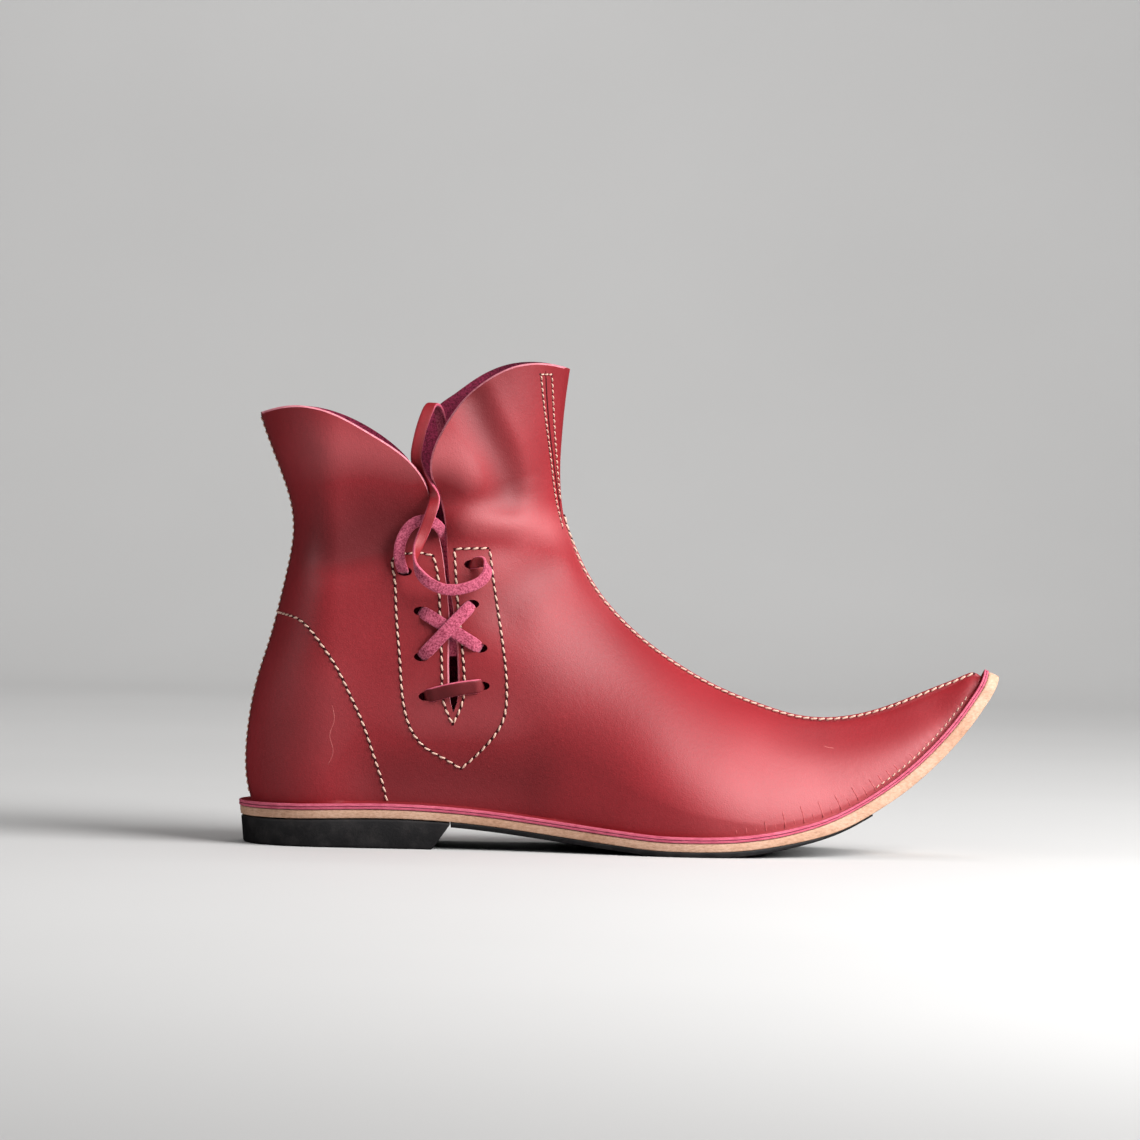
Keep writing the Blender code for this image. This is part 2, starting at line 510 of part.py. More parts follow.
def make_soles(group):
    """Insole, leather sole, rubber sheet and heel block."""
    rows = sole_rows(HEEL_BACK, TOE_POINT)
    level = np.ones(len(rows))
    width = FLANGE_WIDTH - LEATHER_INSET
    make_plate(
        "leather_sole", rows, sole_ring(rows, width, LEATHER_TOP * level),
        sole_ring(rows, width - 0.3, LEATHER_TOP + LEATHER_THICK + toe_extra(rows)), group, (0.62, 0.40, 0.22),
    )
    rows = sole_rows(HEEL_BACK, INSOLE_FRONT)
    level = np.ones(len(rows))
    make_plate(
        "insole", rows, sole_ring(rows, -WALL - INSOLE_CLEAR, -INSOLE_RISE * level),
        sole_ring(rows, -WALL - INSOLE_CLEAR, FLANGE_THICK * level), group, (0.62, 0.10, 0.24),
    )
    rows = sole_rows(RUBBER_BACK, RUBBER_FRONT)
    width = FLANGE_WIDTH - RUBBER_INSET
    thin = RUBBER_THICK * (0.25 + 0.75 * smooth((RUBBER_FRONT - foot_station(rows)) / 45.0))
    top = RUBBER_TOP + toe_extra(rows)
    make_plate(
        "rubber_sole", rows, sole_ring(rows, width, top), sole_ring(rows, width - 0.3, top + thin), group,
        (0.02, 0.02, 0.022),
    )
    rows = sole_rows(HEEL_BACK, HEEL_FRONT_TOP)
    level = np.ones(len(rows))
    tops = sole_ring(rows, width, RUBBER_TOP * level)
    bottoms = sole_ring(rows, width - HEEL_TAPER, RUBBER_TOP * level)
    shrink = (HEEL_FRONT_BOTTOM - HEEL_BACK) / (HEEL_FRONT_TOP - HEEL_BACK)
    for ring in bottoms:
        ring[:, 0] = np.where(ring[:, 0] > HEEL_BACK, HEEL_BACK + (ring[:, 0] - HEEL_BACK) * shrink, ring[:, 0])
        ring[:, 2] = 0.0
    make_plate("heel_block", rows, tops, bottoms, group, (0.02, 0.02, 0.022))


def make_cutter(name, polygon, near, far, group):
    """Prism of a side-view polygon between two Y values."""
    count = len(polygon)
    points = [(x, near, z) for x, z in polygon] + [(x, far, z) for x, z in polygon]
    faces = [tuple(range(count)), tuple(range(2 * count - 1, count - 1, -1))]
    faces += [(i, (i + 1) % count, count + (i + 1) % count, count + i) for i in range(count)]
    item = make_object(name, points, faces, group, (0.5, 0.5, 0.5))
    item.hide_render = True
    item.display_type = "WIRE"
    return item


def cut(target, cutter):
    """Boolean difference that keeps the cutter out of sight."""
    step = target.modifiers.new(cutter.name, "BOOLEAN")
    step.operation = "DIFFERENCE"
    step.solver = "EXACT"
    step.object = cutter


def flap_polygon(back_flap, front_flap):
    """Everything above the collar edge, with the slit where the two flaps meet."""
    back = chord_curve(back_flap, FLAP_SAMPLES)
    front = chord_curve(front_flap, FLAP_SAMPLES)
    top = [(front[-1, 0], BLANK_TOP), (back[0, 0], BLANK_TOP)]
    return [tuple(p) for p in back] + [tuple(p) for p in front[1:]] + top


def cut_upper(upper, group):
    """Cut collar, slit and lace holes from the upper."""
    lateral = flap_polygon(LATERAL_BACK_FLAP, LATERAL_FRONT_FLAP)
    medial = flap_polygon(MEDIAL_BACK_FLAP, MEDIAL_FRONT_FLAP)
    cut(upper, make_cutter("collar_lateral", lateral, -CUT_DEPTH, CUT_OVERLAP, group))
    cut(upper, make_cutter("collar_medial", medial, -CUT_OVERLAP, CUT_DEPTH, group))
    for number, (x, z) in enumerate(BACK_HOLES + FRONT_HOLES):
        turn = np.linspace(0.0, 2.0 * math.pi, HOLE_SIDES, endpoint=False)
        oval = [(x + HOLE_LONG / 2.0 * math.cos(t), z + HOLE_SHORT / 2.0 * math.sin(t)) for t in turn]
        depth = -float(half_width(x, z, LATERAL))
        cut(upper, make_cutter(f"hole_{number}", oval, depth - HOLE_DEPTH, depth + HOLE_DEPTH, group))


def make_strip(name, centres, across, group, colour):
    """Flat strip along the centres, its width along the across directions, given its thickness by Solidify."""
    centres, across = np.asarray(centres, float), np.asarray(across, float)
    along = np.gradient(centres, axis=0)
    along /= np.linalg.norm(along, axis=1, keepdims=True)
    across = across - np.sum(across * along, axis=1, keepdims=True) * along
    across /= np.linalg.norm(across, axis=1, keepdims=True)
    count = len(centres)
    points = np.concatenate([centres - across * LACE_WIDE / 2.0, centres + across * LACE_WIDE / 2.0])
    faces = [(i, i + 1, count + i + 1, count + i) for i in range(count - 1)]
    item = make_object(name, points, faces, group, colour)
    thick = item.modifiers.new("thickness", "SOLIDIFY")
    thick.thickness = LACE_THICK * MM
    thick.offset = 0.0
    thick.use_even_offset = True
    return item


def lace_run(start, finish, rise, inset):
    """Strip centres and width directions over the lateral face between two holes, bulged out by rise."""
    t = np.linspace(0.0, 1.0, LACE_STEPS)
    x = start[0] + (finish[0] - start[0]) * (inset + t * (1.0 - 2.0 * inset))
    z = start[1] + (finish[1] - start[1]) * (inset + t * (1.0 - 2.0 * inset))
    lift = LACE_LIFT + LACE_THICK / 2.0 + rise * np.sin(math.pi * t) ** 2
    centres, normal = skin(x, z, LATERAL, lift)
    along = np.gradient(centres, axis=0)
    return centres, np.cross(normal, along)


def make_laces(group, hidden):
    """Bar, crossed runs and the two loose ends."""
    red, suede = (0.36, 0.03, 0.05), (0.60, 0.14, 0.26)
    centres, across = lace_run(BACK_HOLES[0], FRONT_HOLES[0], BAR_RISE, 0.0)
    make_strip("lace_bar", centres, across, group, red)
    centres, across = lace_run(BACK_HOLES[2], FRONT_HOLES[1], 0.0, 0.0)
    cross = make_strip("lace_cross", centres, across, group, suede)
    centres, across = lace_run(BACK_HOLES[1], FRONT_HOLES[2], CROSS_RISE, 0.0)
    over = make_strip("lace_over", centres, across, hidden, suede)
    over.hide_render = True
    over.display_type = "WIRE"
    join = cross.modifiers.new("join", "BOOLEAN")
    join.operation = "UNION"
    join.solver = "EXACT"
    join.object = over
    for name, table in (("lace_end_front", FRONT_END), ("lace_end_back", BACK_END)):
        x, out, z = column(table, 0), column(table, 1), column(table, 2)
        side_y = LATERAL * (half_width(x, z, LATERAL) + out)
        samples = (len(table) - 1) * END_STEPS + 1
        knots = np.arange(len(table))
        fine = np.linspace(0.0, len(table) - 1.0, samples)
        centres = natural_spline(knots, np.stack([x, side_y, z], axis=-1))(fine)
        across = natural_spline(knots, np.array([row[3] for row in table]))(fine)
        make_strip(name, centres, across, group, suede)


def main():
    """Clear the file and build the boot."""
    for item in list(bpy.data.objects):
        bpy.data.objects.remove(item, do_unlink=True)
    boot = bpy.data.collections.new("elf_boot")
    cutters = bpy.data.collections.new("cutters")
    bpy.context.scene.collection.children.link(boot)
    bpy.context.scene.collection.children.link(cutters)
    upper = make_upper(boot)
    cut_upper(upper, cutters)
    make_soles(boot)
    make_laces(boot, cutters)


main()
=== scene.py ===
import math

import bmesh
import bpy
import numpy as np
from mathutils import Matrix, Vector


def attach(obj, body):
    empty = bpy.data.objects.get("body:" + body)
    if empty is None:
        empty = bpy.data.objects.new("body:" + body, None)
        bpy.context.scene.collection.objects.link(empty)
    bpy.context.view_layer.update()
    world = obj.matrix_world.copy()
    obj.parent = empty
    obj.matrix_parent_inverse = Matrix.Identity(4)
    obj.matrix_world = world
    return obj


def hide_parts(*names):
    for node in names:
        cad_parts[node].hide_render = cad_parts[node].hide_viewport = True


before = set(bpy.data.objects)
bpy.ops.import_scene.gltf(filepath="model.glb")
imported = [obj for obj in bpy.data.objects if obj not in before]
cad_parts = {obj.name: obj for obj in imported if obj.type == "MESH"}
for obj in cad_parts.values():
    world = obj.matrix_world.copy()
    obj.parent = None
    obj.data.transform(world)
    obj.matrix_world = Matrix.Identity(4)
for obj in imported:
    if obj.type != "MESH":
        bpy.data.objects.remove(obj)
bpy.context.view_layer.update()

MM = 0.001
X_MIDDLE = 154.0
LATERAL = -1.0
MEDIAL = 1.0

# Leather and layers, counted down from the top face of the flange.
WALL = 2.2
FLANGE_THICK = 2.4
FLANGE_WIDTH = 3.4
FLANGE_TOE_THIN = 0.2
FLANGE_HEEL_EXTRA = 1.5
SEAT = 0.3
LEATHER_TOP = FLANGE_THICK + SEAT
LEATHER_THICK = 3.5
LEATHER_TOE_EXTRA = 0.8
LEATHER_INSET = 0.5
RUBBER_TOP = LEATHER_TOP + LEATHER_THICK + SEAT
RUBBER_THICK = 1.7
RUBBER_INSET = 1.0
RUBBER_BACK = 85.6
RUBBER_FRONT = 252.0
RUBBER_THINNEST = 0.12
RUBBER_SUNK = 0.4
LEATHER_SUNK = 0.2
INSOLE_RISE = 0.7
INSOLE_CLEAR = 0.6
INSOLE_FRONT = 284.0
HEEL_FRONT_TOP = 85.5
HEEL_FRONT_BOTTOM = 78.0
HEEL_TAPER = 0.8
HEEL_MIDDLE = 42.0
HEEL_RINGS = [(0.0, 0.5), (0.03, 0.15), (0.08, 0.0), (0.45, 0.0), (0.9, 0.0), (0.96, 0.12), (1.0, 0.5)]
BALL_HEIGHT = RUBBER_TOP + RUBBER_THICK

# Upper shape.
HEEL_CENTRE = 38.0
HEEL_BACK = 3.4
HEEL_POWER = 2.3
TOE_POINT = 302.0
BULGE = 2.0
BULGE_RISE = 8.0
BACK_ROUND = 2.1
INNER_RIDGE = 2.7
INNER_START = 2.8
BULGE_FULL = 24.0
BULGE_FORE_LESS = 0.4
CREASE_FULL = 14.0
HOLLOW_LIMIT = 0.42
REACH_LIMIT = 0.94
SECTION_TURN = 30.0
RIDGE_STEP = 0.02
SKIN_STEP = 0.4
LEG_LOW, LEG_HIGH = 10.0, 210.0
OUTER_COLUMNS = 76
INNER_COLUMNS = 26
UPPER_SHARP = 42.0
PLATE_SHARP = 35.0
MERGE_METRES = 0.00001
EMPTY_METRES = 0.000004

# Where one form passes into another: its start, and the length of the change. A negative length runs back.
TOE_PLEATS, TIP_PLEATS, HEEL_PLEATS = (196.0, 30.0), (300.0, -8.0), (75.0, -25.0)
BULGE_FORE = (205.0, 40.0)
LEG_RISE, LEG_FRONT = (2.0, 64.0), (176.0, -62.0)
HOLLOW_BACK, HOLLOW_TIP = (205.0, 45.0), (298.0, -22.0)
TOE_RISE = (214.0, 32.0)
FIN_BACK, FIN_TIP = (127.0, 8.0), (0.0, 1.2)
INNER_FORE = (190.0, 40.0)
SLIT_LOW, SLIT_HIGH, SLIT_FOOT = (92.0, 10.0), (138.0, -10.0), (0.0, 11.0)
# The next pair places the painted highlight on the sides of the toe: along the foot and off the ridge.
TOE_HIGHLIGHT_FORE, TOE_HIGHLIGHT_RIDGE = (165.0, 80.0), (4.0, 17.0)
PLEAT_BALL, PLEAT_TIP = (205.0, 18.0), (258.0, 25.0)
RUBBER_THIN = (RUBBER_FRONT, -50.0)
RUN_DIVE = (0.14, -0.26)
END_FULL = (0.0, 14.0)

# Top face of the flange in side view: station, height.
FEATHER_LINE = [
    (-12.0, 17.4), (20.0, 17.4), (58.0, 18.3), (97.0, 16.4), (130.0, 12.6), (152.0, 10.0), (169.0, 8.4),
    (184.0, 8.2), (199.0, 8.7), (212.0, 10.1), (225.0, 12.6), (239.0, 16.8), (252.0, 23.3), (266.0, 32.5),
    (279.0, 43.7), (289.0, 54.5), (297.6, 66.0), (301.5, 72.6), (303.3, 77.5),
]

# Half widths of the upper where it meets the flange: station, lateral, medial.
PLAN = [
    (38.0, 30.2, 29.6), (60.0, 30.4, 28.6), (84.0, 30.2, 26.6), (110.0, 31.6, 26.6), (136.0, 36.6, 32.0),
    (162.0, 43.0, 40.4), (186.0, 45.4, 44.8), (210.0, 40.6, 42.0), (235.0, 30.6, 33.2), (255.0, 22.4, 24.4),
    (272.0, 15.8, 16.8), (286.0, 10.2, 10.6), (295.0, 6.4, 6.5), (299.8, 3.8, 3.8), (301.4, 2.0, 2.0),
    (302.0, 0.0, 0.0),
]

# Widest half width of the leg part: height, lateral, medial.
LEG_WIDTH = [
    (10.0, 30.0, 29.6), (40.0, 33.4, 33.0), (70.0, 36.0, 36.0), (100.0, 36.2, 36.4), (128.0, 35.2, 35.4),
    (150.0, 37.2, 37.4), (174.0, 40.4, 40.4), (210.0, 44.0, 44.0),
]

# Back seam in side view: height, station.
BACK_SEAM = [
    (10.0, 4.8), (17.4, 3.4), (26.0, 1.6), (37.0, 1.0), (51.0, 2.1), (67.0, 5.1), (83.0, 9.8),
    (100.0, 13.9), (116.0, 17.2), (128.0, 18.5), (141.0, 16.6), (154.0, 11.9), (167.0, 6.7),
    (176.0, 3.5), (190.0, -1.0),
]

# Sections of the foot: station on the flange, then station and height of the ridge the section runs to.
FOOT_SECTIONS = [
    (302.0, 302.0, 73.9), (299.8, 298.2, 74.4), (295.0, 291.8, 71.7), (286.0, 281.5, 67.4),
    (272.0, 266.5, 61.0), (255.0, 248.5, 55.7), (235.0, 229.0, 55.0), (212.0, 210.5, 59.8),
    (188.0, 192.5, 66.8), (162.0, 176.0, 75.8), (136.0, 162.2, 85.4), (110.0, 152.2, 94.3),
    (84.0, 144.2, 103.2), (58.0, 138.1, 112.3), (38.0, 134.5, 119.4),
]

# Sections round the back of the heel: turn of the section in degrees, then ridge station and height.
HEEL_SECTIONS = [(30.0, 132.0, 125.6), (60.0, 130.3, 130.0), (90.0, 129.2, 133.2)]

# Sections of the leg: height on the back seam, then ridge station and height.
LEG_SECTIONS = [
    (30.0, 128.2, 138.0), (48.0, 127.4, 144.0), (70.0, 126.9, 151.0), (92.0, 126.8, 158.5),
    (114.0, 127.1, 166.5), (134.0, 127.6, 175.0), (154.0, 128.4, 185.0), (176.0, 129.6, 196.5),
    (186.0, 130.6, 206.0),
]

# Rounding under the ridge: station of the ridge, reach, power, root, share of a plain slope in place of
# the dome.
RIDGE_ROUND = [
    (120.0, 58.0, 2.1, 1.75, 0.0), (135.0, 56.0, 2.1, 1.55, 0.0), (150.0, 54.0, 2.1, 1.4, 0.0),
    (176.0, 52.0, 2.1, 1.3, 0.06), (196.0, 50.0, 2.0, 1.28, 0.12), (215.0, 46.0, 1.9, 1.28, 0.2),
    (235.0, 42.0, 1.8, 1.25, 0.25), (262.0, 36.0, 1.8, 1.25, 0.25), (282.0, 32.0, 1.8, 1.28, 0.2),
    (302.0, 30.0, 2.0, 1.4, 0.0),
]

# Collar edges in side view, from the back seam to the slit and from the slit to the front seam.
LATERAL_BACK_FLAP = [
    (-14.0, 171.5), (4.0, 174.6), (12.0, 176.6), (21.0, 177.3), (34.5, 174.2), (48.0, 167.3), (62.0, 158.5),
    (69.0, 151.3), (72.6, 144.5), (74.8, 137.0), (76.8, 129.0), (78.6, 121.5), (80.0, 113.0), (81.4, 103.0),
    (82.2, 92.0), (82.1, 80.0), (82.4, 69.0), (83.5, 60.5), (85.0, 55.8),
]
LATERAL_FRONT_FLAP = [
    (85.0, 55.8), (86.7, 60.5), (87.2, 69.0), (86.6, 80.0), (85.2, 92.0), (83.2, 103.0), (81.9, 113.0),
    (81.2, 121.5), (80.7, 129.0), (80.0, 135.0), (78.8, 140.5), (76.6, 146.0), (74.6, 150.5),
    (74.0, 155.0), (74.6, 160.0), (76.6, 165.5), (80.0, 172.0), (84.0, 178.3), (90.0, 185.2),
    (96.0, 189.8), (102.0, 193.4), (109.0, 196.0), (116.0, 197.0), (124.0, 196.6), (131.0, 195.0),
    (146.0, 190.0),
]
MEDIAL_BACK_FLAP = [
    (-14.0, 171.5), (4.0, 174.6), (12.0, 176.9), (21.0, 178.2), (34.5, 176.0), (48.0, 170.0), (59.0, 162.4),
    (64.6, 156.6), (67.4, 151.6), (70.2, 146.0),
]
MEDIAL_FRONT_FLAP = [
    (70.2, 146.0), (70.9, 151.0), (70.0, 156.5), (69.4, 162.0), (70.0, 167.5), (71.6, 172.4),
    (74.6, 177.6), (78.8, 181.6), (83.4, 184.9), (90.2, 190.1), (98.4, 195.0), (105.0, 197.4),
    (112.0, 198.4), (119.0, 198.2), (125.0, 196.9), (131.0, 195.0), (146.0, 190.0),
]
FLAP_SAMPLES = 110
BLANK_TOP = 240.0
CUT_DEPTH = 90.0
CUT_OVERLAP = 0.6
CUT_OUTSIDE = 3.0
CUT_INSIDE = 2.7
CUT_LEAN = 0.3
CUT_LEAST = 8.0
SLIT_LEAN_LESS = 0.55

# Lace holes on the lateral side: station and height, lowest first.
BACK_HOLES = [(73.8, 62.0), (71.6, 78.0), (71.0, 96.4), (64.0, 112.2)]
FRONT_HOLES = [(96.4, 66.8), (95.2, 82.0), (91.4, 99.6), (91.0, 115.6)]
HOLE_LONG = 6.0
HOLE_SHORT = 3.6
HOLE_SIDES = 20
HOLE_DEPTH = 9.0

# Creases of each side: points (station, height), push out of the leather, width to the right of the line
# as it is walked, width to its left. Negative pushes are hollows.
LATERAL_CREASES = [
    (
        [(96.7, 186.0), (100.5, 178.1), (104.6, 171.4), (109.0, 164.4), (111.6, 156.7), (112.8, 150.0)],
        1.5, 6.5, 3.6,
    ),
    ([(91.0, 182.0), (94.5, 173.9), (98.4, 165.0), (102.2, 156.6), (105.4, 149.6)], -4.2, 6.0, 7.4),
    ([(76.0, 156.0), (82.1, 153.5), (88.0, 151.4)], 2.4, 9.0, 9.0),
    ([(76.3, 144.6), (85.6, 141.5), (97.9, 140.0), (105.0, 140.0)], -1.5, 4.4, 4.8),
    ([(79.8, 133.6), (93.9, 132.8), (110.3, 131.9), (122.7, 131.0)], 2.2, 5.5, 5.0),
    ([(78.0, 122.8), (102.3, 123.2)], -0.9, 5.0, 5.0),
    ([(122.0, 113.0), (114.0, 108.6), (106.0, 98.0)], -1.9, 8.0, 8.0),
    ([(127.0, 126.1), (137.7, 114.0), (148.8, 102.1)], 0.9, 6.0, 6.0),
    ([(34.0, 117.0), (39.0, 118.0), (48.0, 120.6), (60.0, 123.4), (72.0, 128.0)], -4.1, 5.0, 13.0),
    ([(34.0, 160.0), (52.0, 158.0), (64.0, 152.0)], 2.2, 9.0, 10.0),
    ([(46.0, 138.0), (66.0, 141.0)], -1.3, 10.0, 10.0),
    ([(104.0, 197.0), (122.0, 195.0)], -2.4, 15.0, 15.0),
    ([(56.0, 27.0), (74.2, 27.4), (92.4, 27.8), (112.0, 25.0)], -2.8, 11.0, 11.0),
    ([(74.0, 50.0), (100.0, 50.0)], 1.2, 12.0, 12.0),
    ([(30.0, 60.0), (36.0, 40.0)], 0.8, 12.0, 12.0),
]
MEDIAL_CREASES = [
    ([(92.0, 182.0), (101.0, 168.0), (109.0, 152.0), (113.0, 140.0)], -2.2, 6.0, 5.0),
    ([(40.0, 138.0), (66.0, 140.0), (92.0, 141.0), (112.0, 138.0)], -1.6, 5.0, 6.5),
    ([(60.0, 129.0), (96.0, 131.0), (122.0, 131.0)], 1.3, 6.0, 6.0),
    ([(20.0, 118.0), (44.0, 121.0), (66.0, 126.0)], -1.6, 7.0, 8.0),
    ([(121.0, 113.0), (110.0, 102.0)], -1.0, 9.0, 9.0),
    ([(64.0, 26.0), (84.0, 27.0), (112.0, 24.0)], -1.8, 12.0, 12.0),
]
GATHER_PITCH = 4.1
GATHER_DEPTH = 0.12
GATHER_REACH = 3.4

# Hollow beside the ridge of the toe: depth, distance from the ridge, width.
TOE_HOLLOW = (2.4, 7.0, 4.2)

# Tone that a painted highlight on the sides of the toe adds to the folds' own.
TOE_HIGHLIGHT = 2.2

# Sewn ridge over the vamp.
FIN_HALF = 1.15
FIN_RISE = 1.2
FIN_SHAPE = [(0.98, 0.4), (0.9, 0.74), (0.68, 0.93), (0.36, 0.99), (0.0, 1.0)]

# Flat leather lace.
LACE_WIDE = 4.5
RUN_WIDE = 5.4
LACE_THICK = 1.5
LACE_LIFT = 0.4
LACE_SIDES = 16
LACE_SHARP = 70.0
CROSS_RISE = 2.0
RUN_OVER = 0.12
RUN_DEEP = 3.4
RUN_NARROW = 0.3
END_DEEP = 2.6
END_LEAD = 12
END_REACH = 3.6
END_NARROW = 0.28
BAR_RISE = 1.7
BAR_BOW = 1.0
BAR_TURN = 20.0
BAR_WIDE = 6.0

# Loose ends: station, distance out from the leather (negative is inside), height, then the direction that
# the width of the strip lies in.
FRONT_END = [
    (92.4, 1.7, 116.2, (0.2, 0.0, 1.0)), (95.4, 3.8, 116.8, (0.1, -0.5, 0.8)),
    (97.4, 6.0, 114.2, (-0.7, -0.6, 0.3)), (95.4, 7.4, 109.6, (-0.6, -0.2, 0.8)),
    (89.2, 8.2, 106.4, (0.0, -0.2, 1.0)), (81.5, 8.8, 105.4, (0.0, -0.1, 1.0)),
    (74.4, 9.2, 107.8, (0.5, -0.1, 0.9)), (69.8, 9.4, 112.2, (0.5, -0.7, 0.4)),
    (68.1, 9.4, 117.5, (-0.2, -1.0, 0.1)), (69.6, 9.2, 123.7, (-0.8, -0.5, 0.3)),
    (72.0, 8.4, 129.9, (-0.95, -0.2, 0.3)), (74.2, 6.6, 136.4, (-0.9, 0.0, 0.3)),
    (75.4, 3.0, 141.8, (-0.7, 0.5, 0.2)), (73.7, -2.0, 147.0, (-0.5, 0.9, 0.2)),
    (70.6, -6.0, 151.6, (-0.7, 0.7, 0.2)), (67.8, -8.2, 157.0, (-0.9, 0.2, 0.0)),
    (68.2, -9.4, 164.0, (-1.0, 0.0, 0.1)), (69.6, -10.2, 170.4, (-1.0, 0.0, 0.2)),
    (71.5, -11.2, 176.2, (-0.9, 0.1, 0.3)), (73.5, -12.8, 179.6, (-0.8, 0.5, 0.1)),
    (75.6, -14.6, 178.8, (-0.8, 0.6, -0.1)), (77.2, -15.6, 174.6, (-0.8, 0.5, -0.2)),
    (78.4, -15.6, 168.0, (-0.9, 0.4, -0.2)), (79.0, -14.8, 160.0, (-0.9, 0.3, -0.2)),
    (79.6, -13.8, 151.0, (-0.9, 0.3, -0.1)),
]
BACK_END = [
    (63.2, 1.7, 113.0, (1.0, 0.0, 0.1)), (61.8, 4.0, 117.6, (1.0, 0.1, 0.2)),
    (62.0, 5.2, 123.0, (1.0, 0.0, -0.3)), (64.2, 5.2, 128.4, (0.7, 0.0, -0.7)),
    (67.8, 4.8, 132.0, (0.3, -0.1, -0.9)), (72.0, 4.2, 133.0, (-0.1, 0.0, -1.0)),
    (75.8, 2.8, 131.8, (-0.4, 0.0, -0.9)), (78.4, 0.2, 129.2, (-0.3, 0.3, -0.9)),
    (79.6, -2.8, 126.0, (-0.6, 0.3, -0.7)), (80.3, -3.8, 121.0, (-0.9, 0.2, -0.3)),
    (80.9, -3.6, 114.5, (-1.0, 0.0, -0.1)), (81.7, -3.4, 106.5, (-1.0, 0.0, 0.0)),
    (82.8, -3.3, 97.5, (-1.0, 0.0, 0.1)), (83.9, -3.3, 88.0, (-1.0, 0.0, 0.1)),
    (84.5, -3.3, 78.5, (-1.0, 0.0, 0.0)),
]
END_STEPS = 10

# Sewn lines of the lateral side in side view.
COUNTER_LINE = [
    (12.9, 94.0), (14.4, 93.8), (21.5, 91.9), (29.8, 83.9), (37.0, 73.8), (43.4, 61.6), (49.0, 49.5),
    (53.4, 37.2), (56.9, 27.0), (59.1, 18.6),
]
EYESTAY_BACK = [
    (75.4, 118.7), (71.0, 119.6), (64.0, 119.2), (59.6, 117.4), (59.7, 111.0), (60.8, 99.0),
    (63.0, 75.7), (65.0, 57.9), (68.0, 48.7), (74.3, 41.1), (82.0, 36.8), (88.6, 32.9),
]
EYESTAY_FRONT = [
    (88.6, 32.9), (94.5, 38.3), (100.4, 44.9), (104.7, 51.9), (106.4, 62.9), (105.3, 76.7), (102.5, 94.3),
    (100.1, 108.4), (98.2, 121.6),
]
EYESTAY_TOP = [(97.4, 122.3), (84.0, 121.7)]
SLIT_FRONT = [(84.0, 121.2), (85.4, 103.2), (87.7, 83.9), (88.9, 72.6), (88.6, 60.1), (84.9, 51.1)]
SLIT_BACK = [
    (84.9, 51.1), (81.5, 58.3), (80.0, 72.4), (79.6, 80.1), (78.4, 100.2), (76.8, 114.0), (75.4, 118.7),
]
FRONT_SEAM_LEFT = [
    (117.4, 192.9), (118.6, 183.0), (120.5, 170.7), (122.8, 156.0), (125.0, 142.4), (128.0, 131.0),
]
FRONT_SEAM_MIDDLE = [
    (119.4, 194.6), (120.2, 184.0), (121.2, 174.8), (123.0, 162.0), (124.9, 150.5), (127.8, 134.0),
]
FRONT_SEAM_RIGHT = [(122.0, 192.4), (122.9, 180.0), (124.0, 166.8), (125.4, 154.0), (126.8, 142.4)]
FRONT_SEAM_BAR = [(117.2, 193.2), (122.2, 193.4)]
SCUFF = [(236.6, 44.6), (238.6, 44.0), (240.9, 43.8)]
SCRATCH = [(36.0, 57.7), (36.9, 50.8), (35.4, 45.5), (36.8, 39.5), (34.9, 33.4)]

STITCH_PITCH = 3.55
STITCH_LONG = 2.6
STITCH_WIDE = 0.78
STITCH_HIGH = 0.7
SEAM_WIDE = 0.55
SEAM_RISE = 1.5
GROOVE_WIDE = 1.15
GROOVE_HIGH = 0.05
GROOVE_SINK = 0.14
ROW_LIFT = 0.16
FINE_LIFT = 0.14
SOLE_LIFT = 0.05
BACK_LIFT = 0.2
RIDGE_SPAN = (0.9, 17.6)
RIDGE_ROW_HIGH = 0.45
SOLE_SEAM_SPAN = (258.0, 297.0)
BACK_SEAM_SPAN = (20.0, 174.0)
BACK_GAP_SPAN = (18.0, 171.5)
STITCH_LIFT = 0.16
STITCH_SLANT = 0.20
PINHOLE_SINK = 0.1
PINHOLE_SIZE = (0.72, 0.52, 0.16)
STITCH_SHARP = 60.0
BACK_ROW = 3.6
BACK_GAP = 0.8
BACK_GAP_HIGH = 0.12

# Stitch rows: pitch, length of a stitch, its width.
USUAL_ROW = (STITCH_PITCH, STITCH_LONG, STITCH_WIDE)
FINE_ROW = (2.5, 1.85, 0.58)
RIDGE_ROW = (3.2, 2.9, 0.8)
HEEL_ROW = (2.9, 2.2, 0.84)
SOLE_ROW = (2.9, 1.9, SEAM_WIDE)

# Pleat lines: first and last station, foot over the flange, mean length, half width and height, and the
# share that they lose at the ball and at the tip.
PLEAT_SPAN = (200.0, 296.0)
PLEAT_FOOT = 0.6
PLEAT_LONG = 5.0
PLEAT_HALF_WIDE = 0.24
PLEAT_HALF_HIGH = 0.16
PLEAT_LESS = 0.55


def natural_spline(knots, values):
    """Return a function: the natural cubic spline through the values at the knots."""
    k = np.asarray(knots, float)
    v = np.asarray(values, float)
    step = np.diff(k)
    count = len(k)
    system = np.eye(count)
    right = np.zeros_like(v)
    for i in range(1, count - 1):
        system[i, i - 1:i + 2] = step[i - 1], 2.0 * (step[i - 1] + step[i]), step[i]
        right[i] = 6.0 * ((v[i + 1] - v[i]) / step[i] - (v[i] - v[i - 1]) / step[i - 1])
    bend = np.linalg.solve(system, right)

    def at(t):
        t = np.asarray(t, float)
        i = np.clip(np.searchsorted(k, t) - 1, 0, count - 2)
        h, before, after = step[i], t - k[i], k[i + 1] - t
        if v.ndim > 1:
            h, before, after = h[..., None], before[..., None], after[..., None]
        cubic = (bend[i] * after ** 3 + bend[i + 1] * before ** 3) / (6.0 * h)
        first = (v[i] / h - bend[i] * h / 6.0) * after
        return cubic + first + (v[i + 1] / h - bend[i + 1] * h / 6.0) * before

    return at


def run_length(points):
    """Length along a row of points, from its first point."""
    return np.concatenate([[0.0], np.cumsum(np.linalg.norm(np.diff(points, axis=0), axis=1))])


